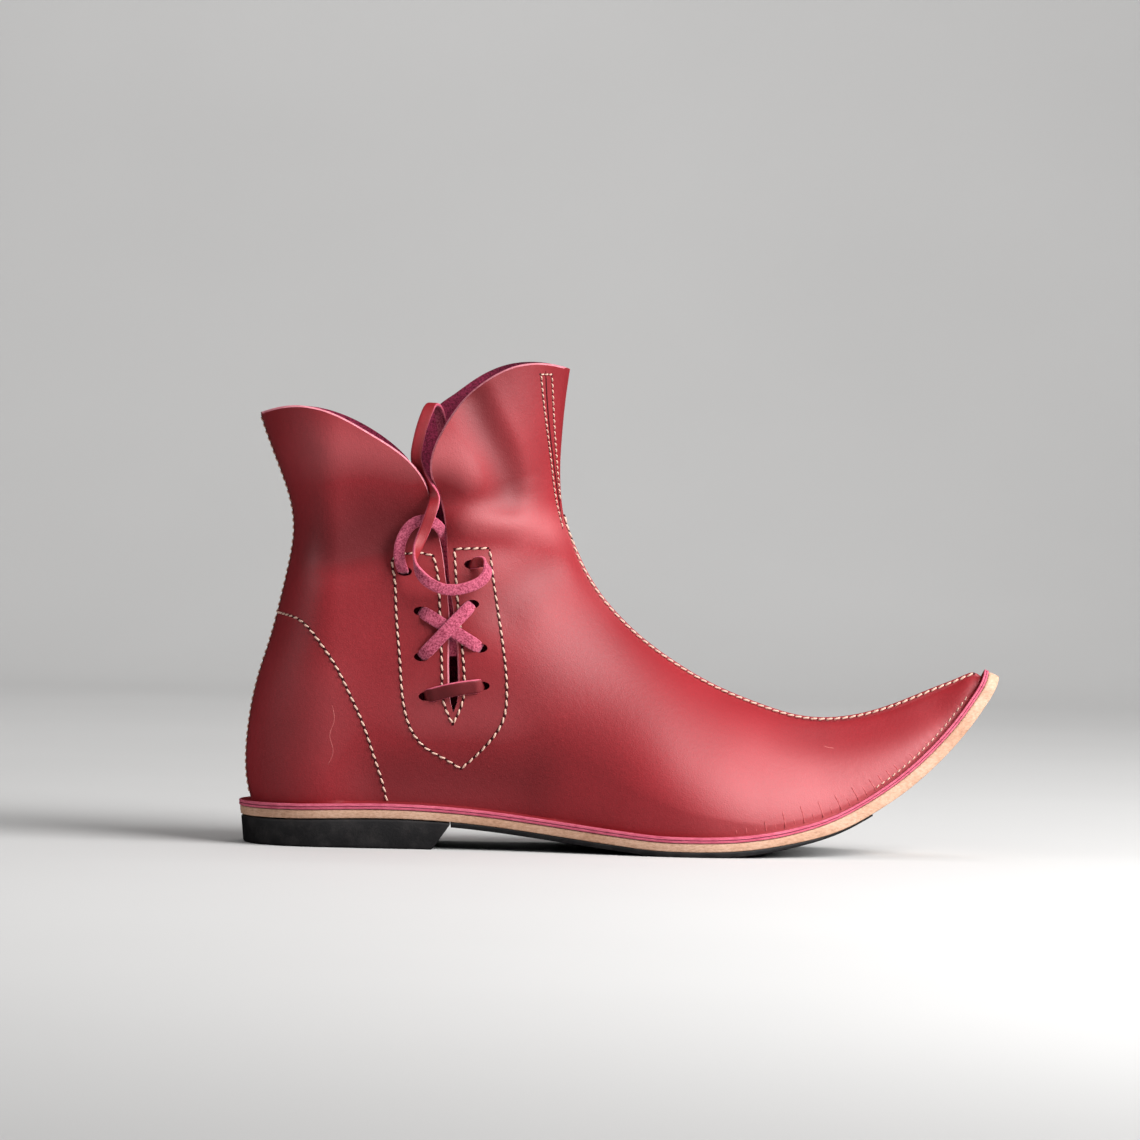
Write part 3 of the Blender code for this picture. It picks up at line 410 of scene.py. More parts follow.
def chord_curve(points, samples):
    """Return samples points along the spline through the points, spaced by chord length."""
    p = np.asarray(points, float)
    run = run_length(p)
    return natural_spline(run, p)(np.linspace(0.0, run[-1], samples))


def column(table, index):
    """One column of a table as an array."""
    return np.array([row[index] for row in table], float)


FEATHER_SAMPLES = chord_curve(FEATHER_LINE, 900)
FEATHER_SAMPLES[:, 1] = np.maximum(FEATHER_SAMPLES[:, 1], BALL_HEIGHT)
FEATHER_RUN = run_length(FEATHER_SAMPLES)
FEATHER_BY_X = (FEATHER_SAMPLES[:, 0], FEATHER_RUN)
FEATHER_SLOPE = np.gradient(FEATHER_SAMPLES, axis=0)
FEATHER_SLOPE /= np.linalg.norm(FEATHER_SLOPE, axis=1, keepdims=True)
RIDGE_POINTS = [row[1:] for row in FOOT_SECTIONS + HEEL_SECTIONS + LEG_SECTIONS]
RIDGE_SAMPLES = chord_curve(RIDGE_POINTS, 700)
PLAN_SPLINE = natural_spline(column(PLAN, 0), np.array([row[1:] for row in PLAN]))
LEG_SPLINE = natural_spline(column(LEG_WIDTH, 0), np.array([row[1:] for row in LEG_WIDTH]))
BACK_SPLINE = natural_spline(column(BACK_SEAM, 0), column(BACK_SEAM, 1))
U_HEEL_START = len(FOOT_SECTIONS) - 1
U_HEEL = U_HEEL_START + len(HEEL_SECTIONS)
U_TOP = U_HEEL + len(LEG_SECTIONS)
FOOT_SPLINE = natural_spline(np.arange(U_HEEL_START + 1), column(FOOT_SECTIONS, 0))
LEG_BACK_SPLINE = natural_spline(
    np.arange(U_HEEL, U_TOP + 1), np.concatenate([[FEATHER_LINE[1][1]], column(LEG_SECTIONS, 0)])
)
RIDGE_SPLINE = natural_spline(np.arange(U_TOP + 1), np.array(RIDGE_POINTS))


def feather_height(x):
    """Height of the flange's top face at a station."""
    return np.interp(x, FEATHER_SAMPLES[:, 0], FEATHER_SAMPLES[:, 1])


def smooth(t):
    """Smooth step from 0 to 1."""
    t = np.clip(t, 0.0, 1.0)
    return t * t * (3.0 - 2.0 * t)


def fade(value, start, length):
    """Smooth step from 0 at start to 1 a length further on."""
    return smooth((value - start) / length)


def foot_half(x, side):
    """Half width of the upper at the flange: a rounded heel, then the spline of the plan table."""
    x = np.asarray(x, float)
    plan = PLAN_SPLINE(np.clip(x, HEEL_CENTRE, TOE_POINT))[..., 0 if side < 0 else 1]
    back = np.clip((HEEL_CENTRE - x) / (HEEL_CENTRE - HEEL_BACK), 0.0, 1.0)
    return np.maximum(plan, 0.0) * (1.0 - back ** HEEL_POWER) ** (1.0 / BACK_ROUND)


def line_distance(x, z, line):
    """Distance in side view to a broken line, and the side: 1 to the right as it is walked, -1 to the left.

    Past the line's ends the side turns smoothly from one to the other.
    """
    p = np.asarray(line, float)
    best = np.full(np.shape(x), np.inf)
    side = np.ones(np.shape(x))
    for a, b in zip(p[:-1], p[1:]):
        along = b - a
        t = np.clip(((x - a[0]) * along[0] + (z - a[1]) * along[1]) / np.sum(along * along), 0.0, 1.0)
        gap = np.hypot(x - a[0] - t * along[0], z - a[1] - t * along[1])
        cross = ((x - a[0]) * along[1] - (z - a[1]) * along[0]) / np.linalg.norm(along)
        side = np.where(gap < best, np.clip(cross / np.maximum(gap, 1e-6), -1.0, 1.0), side)
        best = np.minimum(best, gap)
    return best, side


def ridge_distance(x, z):
    """Distance in side view to the ridge line, and the station of the nearest ridge point."""
    x, z = np.broadcast_arrays(np.asarray(x, float), np.asarray(z, float))
    p = np.stack([x.ravel(), z.ravel()], axis=1)
    last = len(RIDGE_SAMPLES) - 2
    near = np.empty(len(p), int)
    batch = 4000
    for start in range(0, len(p), batch):
        part = p[start:start + batch]
        gap_x = part[:, None, 0] - RIDGE_SAMPLES[None, :, 0]
        gap_z = part[:, None, 1] - RIDGE_SAMPLES[None, :, 1]
        near[start:start + batch] = np.argmin(gap_x ** 2 + gap_z ** 2, axis=1)
    best = np.full(len(p), np.inf)
    for shift in (-1, 0):
        i = np.clip(near + shift, 0, last)
        a, b = RIDGE_SAMPLES[i], RIDGE_SAMPLES[i + 1]
        along = b - a
        t = np.clip(np.sum((p - a) * along, axis=1) / np.sum(along * along, axis=1), 0.0, 1.0)
        best = np.minimum(best, np.linalg.norm(p - a - t[:, None] * along, axis=1))
    return best.reshape(x.shape), RIDGE_SAMPLES[near, 0].reshape(x.shape)


FOOT_REACH_X = np.linspace(0.0, TOE_POINT, 240)
FOOT_REACH = ridge_distance(FOOT_REACH_X, feather_height(FOOT_REACH_X))[0]


def creases(x, z, side):
    """Soft folds: each fold's push times the bell curve of the distance to its line, all added up."""
    total = np.zeros(np.shape(x))
    for line, push, right, left in LATERAL_CREASES if side < 0 else MEDIAL_CREASES:
        gap, turn = line_distance(x, z, line)
        width = (right + left) / 2.0 + turn * (right - left) / 2.0
        total += push * np.exp(-0.5 * (gap / width) ** 2)
    return total


def gathers(x, z):
    """Fine pleats over the sole seam of toe and heel: a cosine along the seam that dies away upwards."""
    along_x = np.interp(x, FEATHER_SAMPLES[:, 0], FEATHER_SLOPE[:, 0])
    along_z = np.interp(x, FEATHER_SAMPLES[:, 0], FEATHER_SLOPE[:, 1])
    rise = np.maximum(z - feather_height(x), 0.0)
    foot = np.interp(x + rise * along_x * along_z, FEATHER_SAMPLES[:, 0], FEATHER_RUN)
    wave = 0.5 + 0.5 * np.cos(2.0 * math.pi * foot / GATHER_PITCH)
    place = fade(x, *TOE_PLEATS) * fade(x, *TIP_PLEATS) + 0.6 * fade(x, *HEEL_PLEATS)
    return -GATHER_DEPTH * wave ** 3 * place * np.exp(-((rise * along_x / GATHER_REACH) ** 2) * 0.5)


def half_width(x, z, side):
    """Half width of the upper's outer face at a station and height.

    Width field times a rounding towards the back seam times a rounding towards the ridge, less the hollow
    beside the toe's ridge, plus folds and pleats. The width field goes from the plan of the foot, with a
    small bulge over the flange, to the width table of the leg.
    """
    x, z = np.broadcast_arrays(np.asarray(x, float), np.asarray(z, float))
    rise = z - feather_height(x)
    foot = PLAN_SPLINE(np.clip(x, HEEL_CENTRE, TOE_POINT))[..., 0 if side < 0 else 1]
    bulge = BULGE * smooth(foot / BULGE_FULL) * (1.0 - BULGE_FORE_LESS * fade(x, *BULGE_FORE))
    foot = foot + bulge * (1.0 - np.exp(-np.maximum(rise, 0.0) / BULGE_RISE))
    leg = LEG_SPLINE(np.clip(z, LEG_LOW, LEG_HIGH))[..., 0 if side < 0 else 1]
    mix = fade(rise, *LEG_RISE) * fade(x, *LEG_FRONT)
    width = foot * (1.0 - mix) + leg * mix
    back_x = BACK_SPLINE(z)
    back = np.clip((HEEL_CENTRE - x) / (HEEL_CENTRE - back_x), 0.0, 1.0)
    back_fall = (1.0 - back ** HEEL_POWER) ** (1.0 / BACK_ROUND)
    gap, ridge_x = ridge_distance(x, z)
    reach, power, root, slope = [
        np.interp(ridge_x, column(RIDGE_ROUND, 0), column(RIDGE_ROUND, i)) for i in (1, 2, 3, 4)
    ]
    reach = np.minimum(reach, REACH_LIMIT * np.interp(x, FOOT_REACH_X, FOOT_REACH) + 0.02)
    near = 1.0 - np.clip(gap / reach, 0.0, 1.0)
    dome = (1.0 - near ** power) ** (1.0 / root)
    plain = width * back_fall * (dome * (1.0 - slope) + (1.0 - near) * slope)
    depth, middle, spread_out = TOE_HOLLOW
    hollow = depth * np.exp(-0.5 * ((gap - middle) / spread_out) ** 2)
    hollow = hollow * fade(ridge_x, *HOLLOW_BACK) * fade(ridge_x, *HOLLOW_TIP)
    plain = plain - np.minimum(hollow, HOLLOW_LIMIT * plain)
    return plain + (creases(x, z, side) + gathers(x, z)) * smooth(plain / CREASE_FULL)


def skin(x, z, side, lift=0.0):
    """Points on the outer face at stations and heights, moved out by lift, and the face's normals there."""
    x, z, lift = np.broadcast_arrays(np.asarray(x, float), np.asarray(z, float), np.asarray(lift, float))
    step = SKIN_STEP
    slope_x = (half_width(x + step, z, side) - half_width(x - step, z, side)) / (2.0 * step)
    slope_z = (half_width(x, z + step, side) - half_width(x, z - step, side)) / (2.0 * step)
    normal = np.stack([-slope_x, np.full_like(slope_x, side), -slope_z], axis=-1)
    normal /= np.linalg.norm(normal, axis=-1, keepdims=True)
    base = np.stack([x, side * half_width(x, z, side), z], axis=-1)
    return base + lift[..., None] * normal, normal


def heel_turn(u):
    """Turn of a section round the heel: 0 up to the heel's sides, a quarter turn at its back."""
    return np.radians(np.clip(u - U_HEEL_START, 0.0, len(HEEL_SECTIONS)) * SECTION_TURN)


def foot_station(u):
    """Station on the flange of foot and heel sections."""
    round_heel = HEEL_CENTRE - (HEEL_CENTRE - HEEL_BACK) * np.sin(heel_turn(u))
    return np.where(u <= U_HEEL_START, FOOT_SPLINE(np.minimum(u, U_HEEL_START)), round_heel)


def edge_point(u):
    """Lower end of a section in side view: on the flange for the foot, on the back seam for the leg."""
    u = np.asarray(u, float)
    station = foot_station(np.minimum(u, U_HEEL))
    foot = np.stack([station, feather_height(station)], axis=-1)
    height = LEG_BACK_SPLINE(np.clip(u, U_HEEL, U_TOP))
    leg = np.stack([BACK_SPLINE(height), height], axis=-1)
    return np.where((u <= U_HEEL)[..., None], foot, leg)


def section_share(u, wide_enough):
    """Share of each section, up from its lower end, where both halves are still as wide as asked."""
    v = np.linspace(0.5, 1.0, 260)
    low, high = edge_point(u), RIDGE_SPLINE(u)
    flat = low[:, None, :] * (1.0 - v[None, :, None]) + high[:, None, :] * v[None, :, None]
    half = np.minimum(*[half_width(flat[..., 0], flat[..., 1], side) for side in (LATERAL, MEDIAL)])
    wide = half >= wide_enough
    last = len(v) - 1 - np.argmax(wide[:, ::-1], axis=1)
    after = np.minimum(last + 1, len(v) - 1)
    row = np.arange(len(u))
    fall = np.maximum(half[row, last] - half[row, after], 1e-6)
    part = np.clip((half[row, last] - wide_enough) / fall, 0.0, 1.0)
    return np.where(wide.any(axis=1), v[last] + part * (v[after] - v[last]), 0.5)


def section_grid(u, share, columns):
    """Both halves of the upper's face: a row for each section, columns from its lower end to the ridge."""
    low, high = edge_point(u), RIDGE_SPLINE(u)
    t = np.linspace(0.0, 1.0, columns)
    t = 0.55 * t + 0.45 * (0.5 - 0.5 * np.cos(math.pi * t))
    v = t[None, :] * np.broadcast_to(share, u.shape)[:, None]
    flat = low[:, None, :] * (1.0 - v[..., None]) + high[:, None, :] * v[..., None]
    halves = []
    for side in (LATERAL, MEDIAL):
        half = half_width(flat[..., 0], flat[..., 1], side)
        half[u >= U_HEEL, 0] = 0.0
        on_foot = u < U_HEEL
        half[on_foot, 0] = foot_half(low[on_foot, 0], side)
        halves.append(np.stack([flat[..., 0], side * half, flat[..., 1]], axis=-1))
    return halves


def grid_normals(grid, u):
    """Outward normals of the section grid, averaged over the seams."""
    along = np.gradient(grid, axis=0)
    across = np.gradient(grid, axis=1)
    closed = u >= U_HEEL
    wrap = (grid[:, 1] - grid[:, -2]) / 2.0
    across[closed, 0] = wrap[closed]
    across[closed, -1] = wrap[closed]
    normal = np.cross(across, along)
    length = np.linalg.norm(normal, axis=-1, keepdims=True)
    return normal / np.maximum(length, 1e-9)


def flange_frame(run):
    """Point and upward normal of the flange line at a run along it, carried on straight past its ends."""
    inside = np.clip(run, 0.0, FEATHER_RUN[-1])
    x = np.interp(inside, FEATHER_RUN, FEATHER_SAMPLES[:, 0])
    z = np.interp(inside, FEATHER_RUN, FEATHER_SAMPLES[:, 1])
    along_x = np.interp(inside, FEATHER_RUN, FEATHER_SLOPE[:, 0])
    along_z = np.interp(inside, FEATHER_RUN, FEATHER_SLOPE[:, 1])
    point = np.stack([x + along_x * (run - inside), z + along_z * (run - inside)], axis=-1)
    return point, np.stack([-along_z, along_x], axis=-1)


def toe_share(u):
    """0 up to the ball, 1 under the raised toe, where the tan sole is thicker and the flange thinner."""
    return fade(foot_station(u), *TOE_RISE)


def sole_ring(u, offset, depth):
    """Ring of points round the sole, lateral then medial, moved out by offset and down by depth."""
    station = foot_station(u)
    run = np.interp(station, FEATHER_SAMPLES[:, 0], FEATHER_RUN)
    out = offset + FLANGE_HEEL_EXTRA * min(max(offset, 0.0) / 2.0, 1.0) * np.sin(heel_turn(u)) ** 2
    rings = []
    for side in (LATERAL, MEDIAL):
        half = foot_half(station, side)
        along = np.gradient(np.stack([run, half], axis=-1), axis=0)
        across = np.stack([along[:, 1], -along[:, 0]], axis=-1)
        across /= np.maximum(np.linalg.norm(across, axis=1, keepdims=True), 1e-9)
        if station[0] >= TOE_POINT:
            across[0] = (1.0, 0.0)
        if u[-1] >= U_HEEL:
            across[-1] = (-1.0, 0.0)
        point, normal = flange_frame(run + across[:, 0] * out)
        wide = np.maximum(half + across[:, 1] * out, 0.0)
        place = point - normal * np.broadcast_to(depth, station.shape)[..., None]
        rings.append(np.stack([place[:, 0], side * wide, place[:, 1]], axis=-1))
    return rings


def grid_quads(ids):
    """Faces of a grid of point numbers."""
    return np.stack([ids[:-1, :-1], ids[:-1, 1:], ids[1:, 1:], ids[1:, :-1]], axis=-1).reshape(-1, 4)


def tube_faces(rows, sides):
    """Faces of a tube through rows rings of sides points each, with a lid at each end."""
    ids = np.arange(rows * sides).reshape(rows, sides)
    walls = grid_quads(np.concatenate([ids, ids[:, :1]], axis=1)).tolist()
    return walls + [ids[0].tolist(), ids[-1, ::-1].tolist()]


def make_mesh(name, points, faces, materials, face_slots=None, sharp=None):
    """Mesh object from points in millimetres: merged where points meet, facing out, smooth shaded."""
    mesh = bpy.data.meshes.new(name)
    place = (np.asarray(points, float) - np.array([X_MIDDLE, 0.0, 0.0])) * MM
    mesh.from_pydata(place.tolist(), [], [tuple(face) for face in faces])
    if face_slots is not None:
        mesh.polygons.foreach_set("material_index", np.asarray(face_slots, np.int32))
    for material in materials:
        mesh.materials.append(material)
    mend(mesh)
    mesh.shade_smooth()
    if sharp is not None:
        mesh.set_sharp_from_angle(angle=math.radians(sharp))
    item = bpy.data.objects.new(name, mesh)
    bpy.context.scene.collection.objects.link(item)
    return item


def make_many(name, parts, materials, sharp=None):
    """One mesh object of several shapes, each given by its points, its faces and the slot of its finish."""
    points, faces, slots = [], [], []
    count = 0
    for more_points, more_faces, slot in parts:
        points.append(more_points)
        faces += [[n + count for n in face] for face in more_faces]
        slots += [slot] * len(more_faces)
        count += len(more_points)
    return make_mesh(name, np.concatenate(points), faces, materials, slots, sharp)


def mend(mesh):
    """Merge meeting points, drop empty faces and turn the faces outwards."""
    work = bmesh.new()
    work.from_mesh(mesh)
    bmesh.ops.remove_doubles(work, verts=work.verts, dist=MERGE_METRES)
    bmesh.ops.dissolve_degenerate(work, dist=EMPTY_METRES, edges=work.edges)
    bmesh.ops.recalc_face_normals(work, faces=work.faces)
    work.to_mesh(mesh)
    work.free()


def settle(piece, slot, *nodes):
    """Tie a finished piece to the body and hide the solids it stands for; slot is not used."""
    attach(piece, "root")
    if nodes:
        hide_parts(*nodes)
    return piece


# Materials.


def start_material(name):
    """New material with its tree, shader and object coordinates."""
    material = bpy.data.materials.new(name)
    material.use_nodes = True
    tree = material.node_tree
    shader = tree.nodes["Principled BSDF"]
    place = tree.nodes.new("ShaderNodeTexCoord")
    return material, tree, shader, place.outputs["Object"]


def put(node, values):
    """Set plain values on a node's own sockets."""
    for socket, value in values.items():
        node.inputs[socket].default_value = value


def noise(tree, place, scale, detail=3.0, rough=0.55):
    """Noise value between 0 and 1 at a scale in turns per metre."""
    item = tree.nodes.new("ShaderNodeTexNoise")
    put(item, {"Scale": scale, "Detail": detail, "Roughness": rough})
    tree.links.new(place, item.inputs["Vector"])
    return item.outputs["Fac"]


def ramp(tree, value, stops):
    """Colour ramp through stops of position and colour."""
    item = tree.nodes.new("ShaderNodeValToRGB")
    band = item.color_ramp
    while len(band.elements) < len(stops):
        band.elements.new(0.5)
    for element, (position, colour) in zip(band.elements, stops):
        element.position = position
        element.color = (*colour, 1.0)
    tree.links.new(value, item.inputs["Fac"])
    return item.outputs["Color"]


def blend(tree, kind, factor, first, second):
    """Mix of two colours by a factor, each a link or a plain value."""
    item = tree.nodes.new("ShaderNodeMix")
    item.data_type = "RGBA"
    item.blend_type = kind
    for socket, value in ((0, factor), (6, first), (7, second)):
        if isinstance(value, (int, float)):
            item.inputs[socket].default_value = value
        elif isinstance(value, tuple):
            item.inputs[socket].default_value = (*value, 1.0)
        else:
            tree.links.new(value, item.inputs[socket])
    return item.outputs[2]


def spread(tree, value, low, high, from_low=0.0, from_high=1.0):
    """Value moved from one span to another."""
    item = tree.nodes.new("ShaderNodeMapRange")
    put(item, {"From Min": from_low, "From Max": from_high, "To Min": low, "To Max": high})
    tree.links.new(value, item.inputs["Value"])
    return item.outputs["Result"]


def add_bump(tree, shader, height, strength, distance, under=None):
    """Bump from a height value, on top of another bump where given."""
    item = tree.nodes.new("ShaderNodeBump")
    put(item, {"Strength": strength, "Distance": distance})
    tree.links.new(height, item.inputs["Height"])
    if under is not None:
        tree.links.new(under, item.inputs["Normal"])
    tree.links.new(item.outputs["Normal"], shader.inputs["Normal"])
    return item.outputs["Normal"]


def cells(tree, place, scale):
    """Distance to the edge of small cells, for leather grain."""
    item = tree.nodes.new("ShaderNodeTexVoronoi")
    item.feature = "DISTANCE_TO_EDGE"
    item.inputs["Scale"].default_value = scale
    tree.links.new(place, item.inputs["Vector"])
    return item.outputs["Distance"]


def stretched(tree, place, scale):
    """Coordinates scaled by their own amount along each axis."""
    item = tree.nodes.new("ShaderNodeMapping")
    item.inputs["Scale"].default_value = scale
    tree.links.new(place, item.inputs["Vector"])
    return item.outputs["Vector"]


def grey(value):
    """Grey of one value, to lighten or darken another colour."""
    return (value, value, value)


def waxed_leather(name, dark, middle, light):
    """Red waxed leather: slow shifts of dye, fine speckle and a soft satin gloss.

    By the tone attribute it mixes towards RED_PALE on crests, partly the pull-up lightening of bent leather
    and partly painted highlight, and on the sides of the toe, painted highlight; in hollows it mixes towards
    the dark colour, painted shade.
    """
    material, tree, shader, place = start_material(name)
    deep = tuple(0.8 * part for part in middle)
    dye = ramp(tree, noise(tree, place, 16.0, 2.0), [(0.25, deep), (0.55, middle), (0.95, light)])
    speck = noise(tree, place, 1500.0, 3.0, 0.65)
    fleck = ramp(tree, speck, [(0.30, grey(0.84)), (0.52, grey(1.0)), (0.72, grey(1.18))])
    colour = blend(tree, "MULTIPLY", 0.85, dye, fleck)
    tone = tree.nodes.new("ShaderNodeAttribute")
    tone.attribute_name = "tone"
    # Lighter crests and toe sides: painted highlight, on crests also pull-up lightening.
    lifted = spread(tree, tone.outputs["Fac"], 0.0, 0.42, 0.0, 3.4)
    colour = blend(tree, "MIX", lifted, colour, RED_PALE)
    # Darker hollows: painted shade.
    sunk = spread(tree, tone.outputs["Fac"], 0.86, 0.0, -4.0, -0.2)
    colour = blend(tree, "MIX", sunk, colour, dark)
    tree.links.new(colour, shader.inputs["Base Color"])
    tree.links.new(spread(tree, speck, 0.52, 0.64), shader.inputs["Roughness"])
    put(shader, {"Specular IOR Level": 0.75, "Specular Tint": (1.0, 0.74, 0.76, 1.0)})
    grain = add_bump(tree, shader, cells(tree, place, 1200.0), 0.16, 0.0004)
    add_bump(tree, shader, noise(tree, place, 420.0, 4.0, 0.65), 0.13, 0.0008, grain)
    return material


def napped_leather(name, dark, light, pile):
    """Suede: mottled pile with a fuzzy sheen and no gloss."""
    material, tree, shader, place = start_material(name)
    colour = ramp(tree, noise(tree, place, 1300.0, 4.0, 0.75), [(0.36, dark), (0.60, light)])
    patch = ramp(tree, noise(tree, place, 60.0, 3.0), [(0.3, grey(0.82)), (0.7, grey(1.1))])
    tree.links.new(blend(tree, "MULTIPLY", 0.7, colour, patch), shader.inputs["Base Color"])
    put(shader, {"Roughness": 0.95, "Specular IOR Level": 0.15})
    put(shader, {"Sheen Weight": 0.35, "Sheen Roughness": 0.45, "Sheen Tint": (1.0, 0.65, 0.78, 1.0)})
    add_bump(tree, shader, noise(tree, place, pile, 4.0, 0.7), 0.45, 0.0006)
    return material


def cut_edge(name, dark, light, scale):
    """Raw cut edge of leather: fibres along the layers, matt."""
    material, tree, shader, place = start_material(name)
    fibre = noise(tree, stretched(tree, place, (0.35, 0.35, 1.6)), scale, 5.0, 0.7)
    tree.links.new(ramp(tree, fibre, [(0.28, dark), (0.70, light)]), shader.inputs["Base Color"])
    put(shader, {"Roughness": 0.8, "Specular IOR Level": 0.25})
    add_bump(tree, shader, fibre, 0.35, 0.0005)
    return material


def sole_edge(name):
    """Tan sole leather: pale fibres in layers, with patches of brown stain."""
    material, tree, shader, place = start_material(name)
    fibre = noise(tree, stretched(tree, place, (0.7, 0.7, 1.4)), 900.0, 5.0, 0.68)
    tans = [(0.26, (0.36, 0.195, 0.125)), (0.5, (0.54, 0.325, 0.222)), (0.74, (0.65, 0.43, 0.32))]
    colour = ramp(tree, fibre, tans)
    stain = ramp(tree, noise(tree, place, 55.0, 4.0), [(0.34, (0.80, 0.70, 0.62)), (0.6, grey(1.0))])
    tree.links.new(blend(tree, "MULTIPLY", 0.75, colour, stain), shader.inputs["Base Color"])
    tree.links.new(spread(tree, fibre, 0.5, 0.75), shader.inputs["Roughness"])
    shader.inputs["Specular IOR Level"].default_value = 0.35
    add_bump(tree, shader, fibre, 0.35, 0.0005)
    return material


def black_rubber(name):
    """Black rubber: matt, fine pits and dusty rubbed patches."""
    material, tree, shader, place = start_material(name)
    blacks = [(0.46, (0.006, 0.005, 0.006)), (0.82, (0.026, 0.022, 0.022))]
    dust = ramp(tree, noise(tree, place, 130.0, 5.0, 0.7), blacks)
    tree.links.new(dust, shader.inputs["Base Color"])
    tree.links.new(spread(tree, noise(tree, place, 200.0, 4.0), 0.5, 0.78), shader.inputs["Roughness"])
    shader.inputs["Specular IOR Level"].default_value = 0.4
    add_bump(tree, shader, noise(tree, place, 1100.0, 4.0, 0.7), 0.25, 0.0005)
    return material


def sewing_thread(name):
    """Waxed linen thread: twisted strands seen as fine slanting bands."""
    material, tree, shader, place = start_material(name)
    wave = tree.nodes.new("ShaderNodeTexWave")
    put(wave, {"Scale": 900.0, "Distortion": 1.5})
    tree.links.new(place, wave.inputs["Vector"])
    colour = ramp(tree, wave.outputs["Fac"], [(0.1, (0.46, 0.26, 0.195)), (0.7, (0.80, 0.53, 0.43))])
    tree.links.new(colour, shader.inputs["Base Color"])
    put(shader, {"Roughness": 0.6, "Specular IOR Level": 0.3})
    add_bump(tree, shader, wave.outputs["Fac"], 0.3, 0.0003)
    return material


def flat_shade(name, dark, light, scale, rough):
    """Plain finish with a faint mottle."""
    material, tree, shader, place = start_material(name)
    colour = ramp(tree, noise(tree, place, scale, 3.0), [(0.3, dark), (0.7, light)])
    tree.links.new(colour, shader.inputs["Base Color"])
    put(shader, {"Roughness": rough, "Specular IOR Level": 0.15})
    return material


# RED_DARK is also the painted shade of the red leather's hollows; RED_PALE is the painted highlight of its
# crests and toe sides, on crests also pull-up lightening.
RED_DARK, RED, RED_LIGHT = (0.125, 0.002, 0.005), (0.250, 0.0045, 0.010), (0.330, 0.014, 0.023)
RED_PALE = (0.52, 0.15, 0.16)
GRAIN = waxed_leather("red_waxed_leather", RED_DARK, RED, RED_LIGHT)
# Darker copy of the red leather for the lowest lace run: painted shade.
SHADED_GRAIN = waxed_leather("shaded_red_waxed_leather", RED_DARK, (0.150, 0.003, 0.007), (0.200, 0.008, 0.014))
# Inside suede, darker than the suede of laces and insole: painted shade inside the boot.
NAP = napped_leather("pink_suede_inside", (0.07, 0.004, 0.015), (0.30, 0.028, 0.075), 900.0)
# Cut edge of the collar and slit, paler than the flange's pink edge by a painted highlight along it.
RIM = cut_edge("pale_cut_edge", (0.48, 0.10, 0.14), (0.76, 0.30, 0.35), 800.0)
RAW = cut_edge("pink_cut_edge", (0.38, 0.045, 0.090), (0.64, 0.14, 0.21), 800.0)
# Mauve copy of the pink cut edge: painted shade, for the groove and the lower part of the flange edge.
RAW_SHADED = cut_edge("mauve_cut_edge", (0.12, 0.012, 0.030), (0.26, 0.035, 0.075), 800.0)
LACE_NAP = napped_leather("pink_suede_lace", (0.17, 0.011, 0.034), (0.56, 0.118, 0.190), 1100.0)
INSOLE_NAP = napped_leather("insole_suede", (0.34, 0.04, 0.09), (0.55, 0.10, 0.18), 700.0)
SOLE_TAN = sole_edge("tan_sole_leather")
RUBBER = black_rubber("black_rubber")
THREAD = sewing_thread("waxed_thread")
# Near-black finish of needle holes and lace hole walls: painted shade in the holes.
PINHOLE = flat_shade("stitch_hole", (0.03, 0.004, 0.005), (0.06, 0.008, 0.010), 600.0, 0.9)
# Near-black finish of seam gaps and stitch grooves: painted shade in these narrow recesses.
SEAM_SHADE = flat_shade("seam_gap", (0.020, 0.002, 0.003), (0.055, 0.005, 0.007), 500.0, 0.85)
RUBBED = flat_shade("rubbed_leather", (0.36, 0.06, 0.065), (0.50, 0.15, 0.14), 900.0, 0.6)
# Paler red for the raised pleat lines: painted highlight on their crests.
PLEAT = flat_shade("pleated_leather", (0.34, 0.045, 0.052), (0.48, 0.12, 0.125), 900.0, 0.55)
UPPER_FINISHES = [GRAIN, NAP, RAW, RAW_SHADED, PINHOLE, RIM]
GRAIN_FACE, NAP_FACE, RAW_FACE, LOW_FACE, HOLE_FACE, RIM_FACE = range(len(UPPER_FINISHES))


# Upper.


def upper_rows():
    """Section numbers of the upper's rows, closest together at the pleated toe.

    Each part has its first section, its last one and the rows between two sections.
    """
    u_toe = 7
    parts = [(0, u_toe, 20), (u_toe, U_HEEL_START, 9), (U_HEEL_START, U_HEEL, 8), (U_HEEL, U_TOP, 11)]
    rows = [np.linspace(first, last, (last - first) * fine + 1)[1:] for first, last, fine in parts]
    return np.concatenate([[0.0], *rows])


def ridge_out(u):
    """Direction out of the boot, square to the ridge line in side view."""
    along = RIDGE_SPLINE(np.minimum(u + RIDGE_STEP, U_TOP)) - RIDGE_SPLINE(np.maximum(u - RIDGE_STEP, 0.0))
    along /= np.linalg.norm(along, axis=1, keepdims=True)
    return np.stack([along[:, 1], -along[:, 0]], axis=-1)


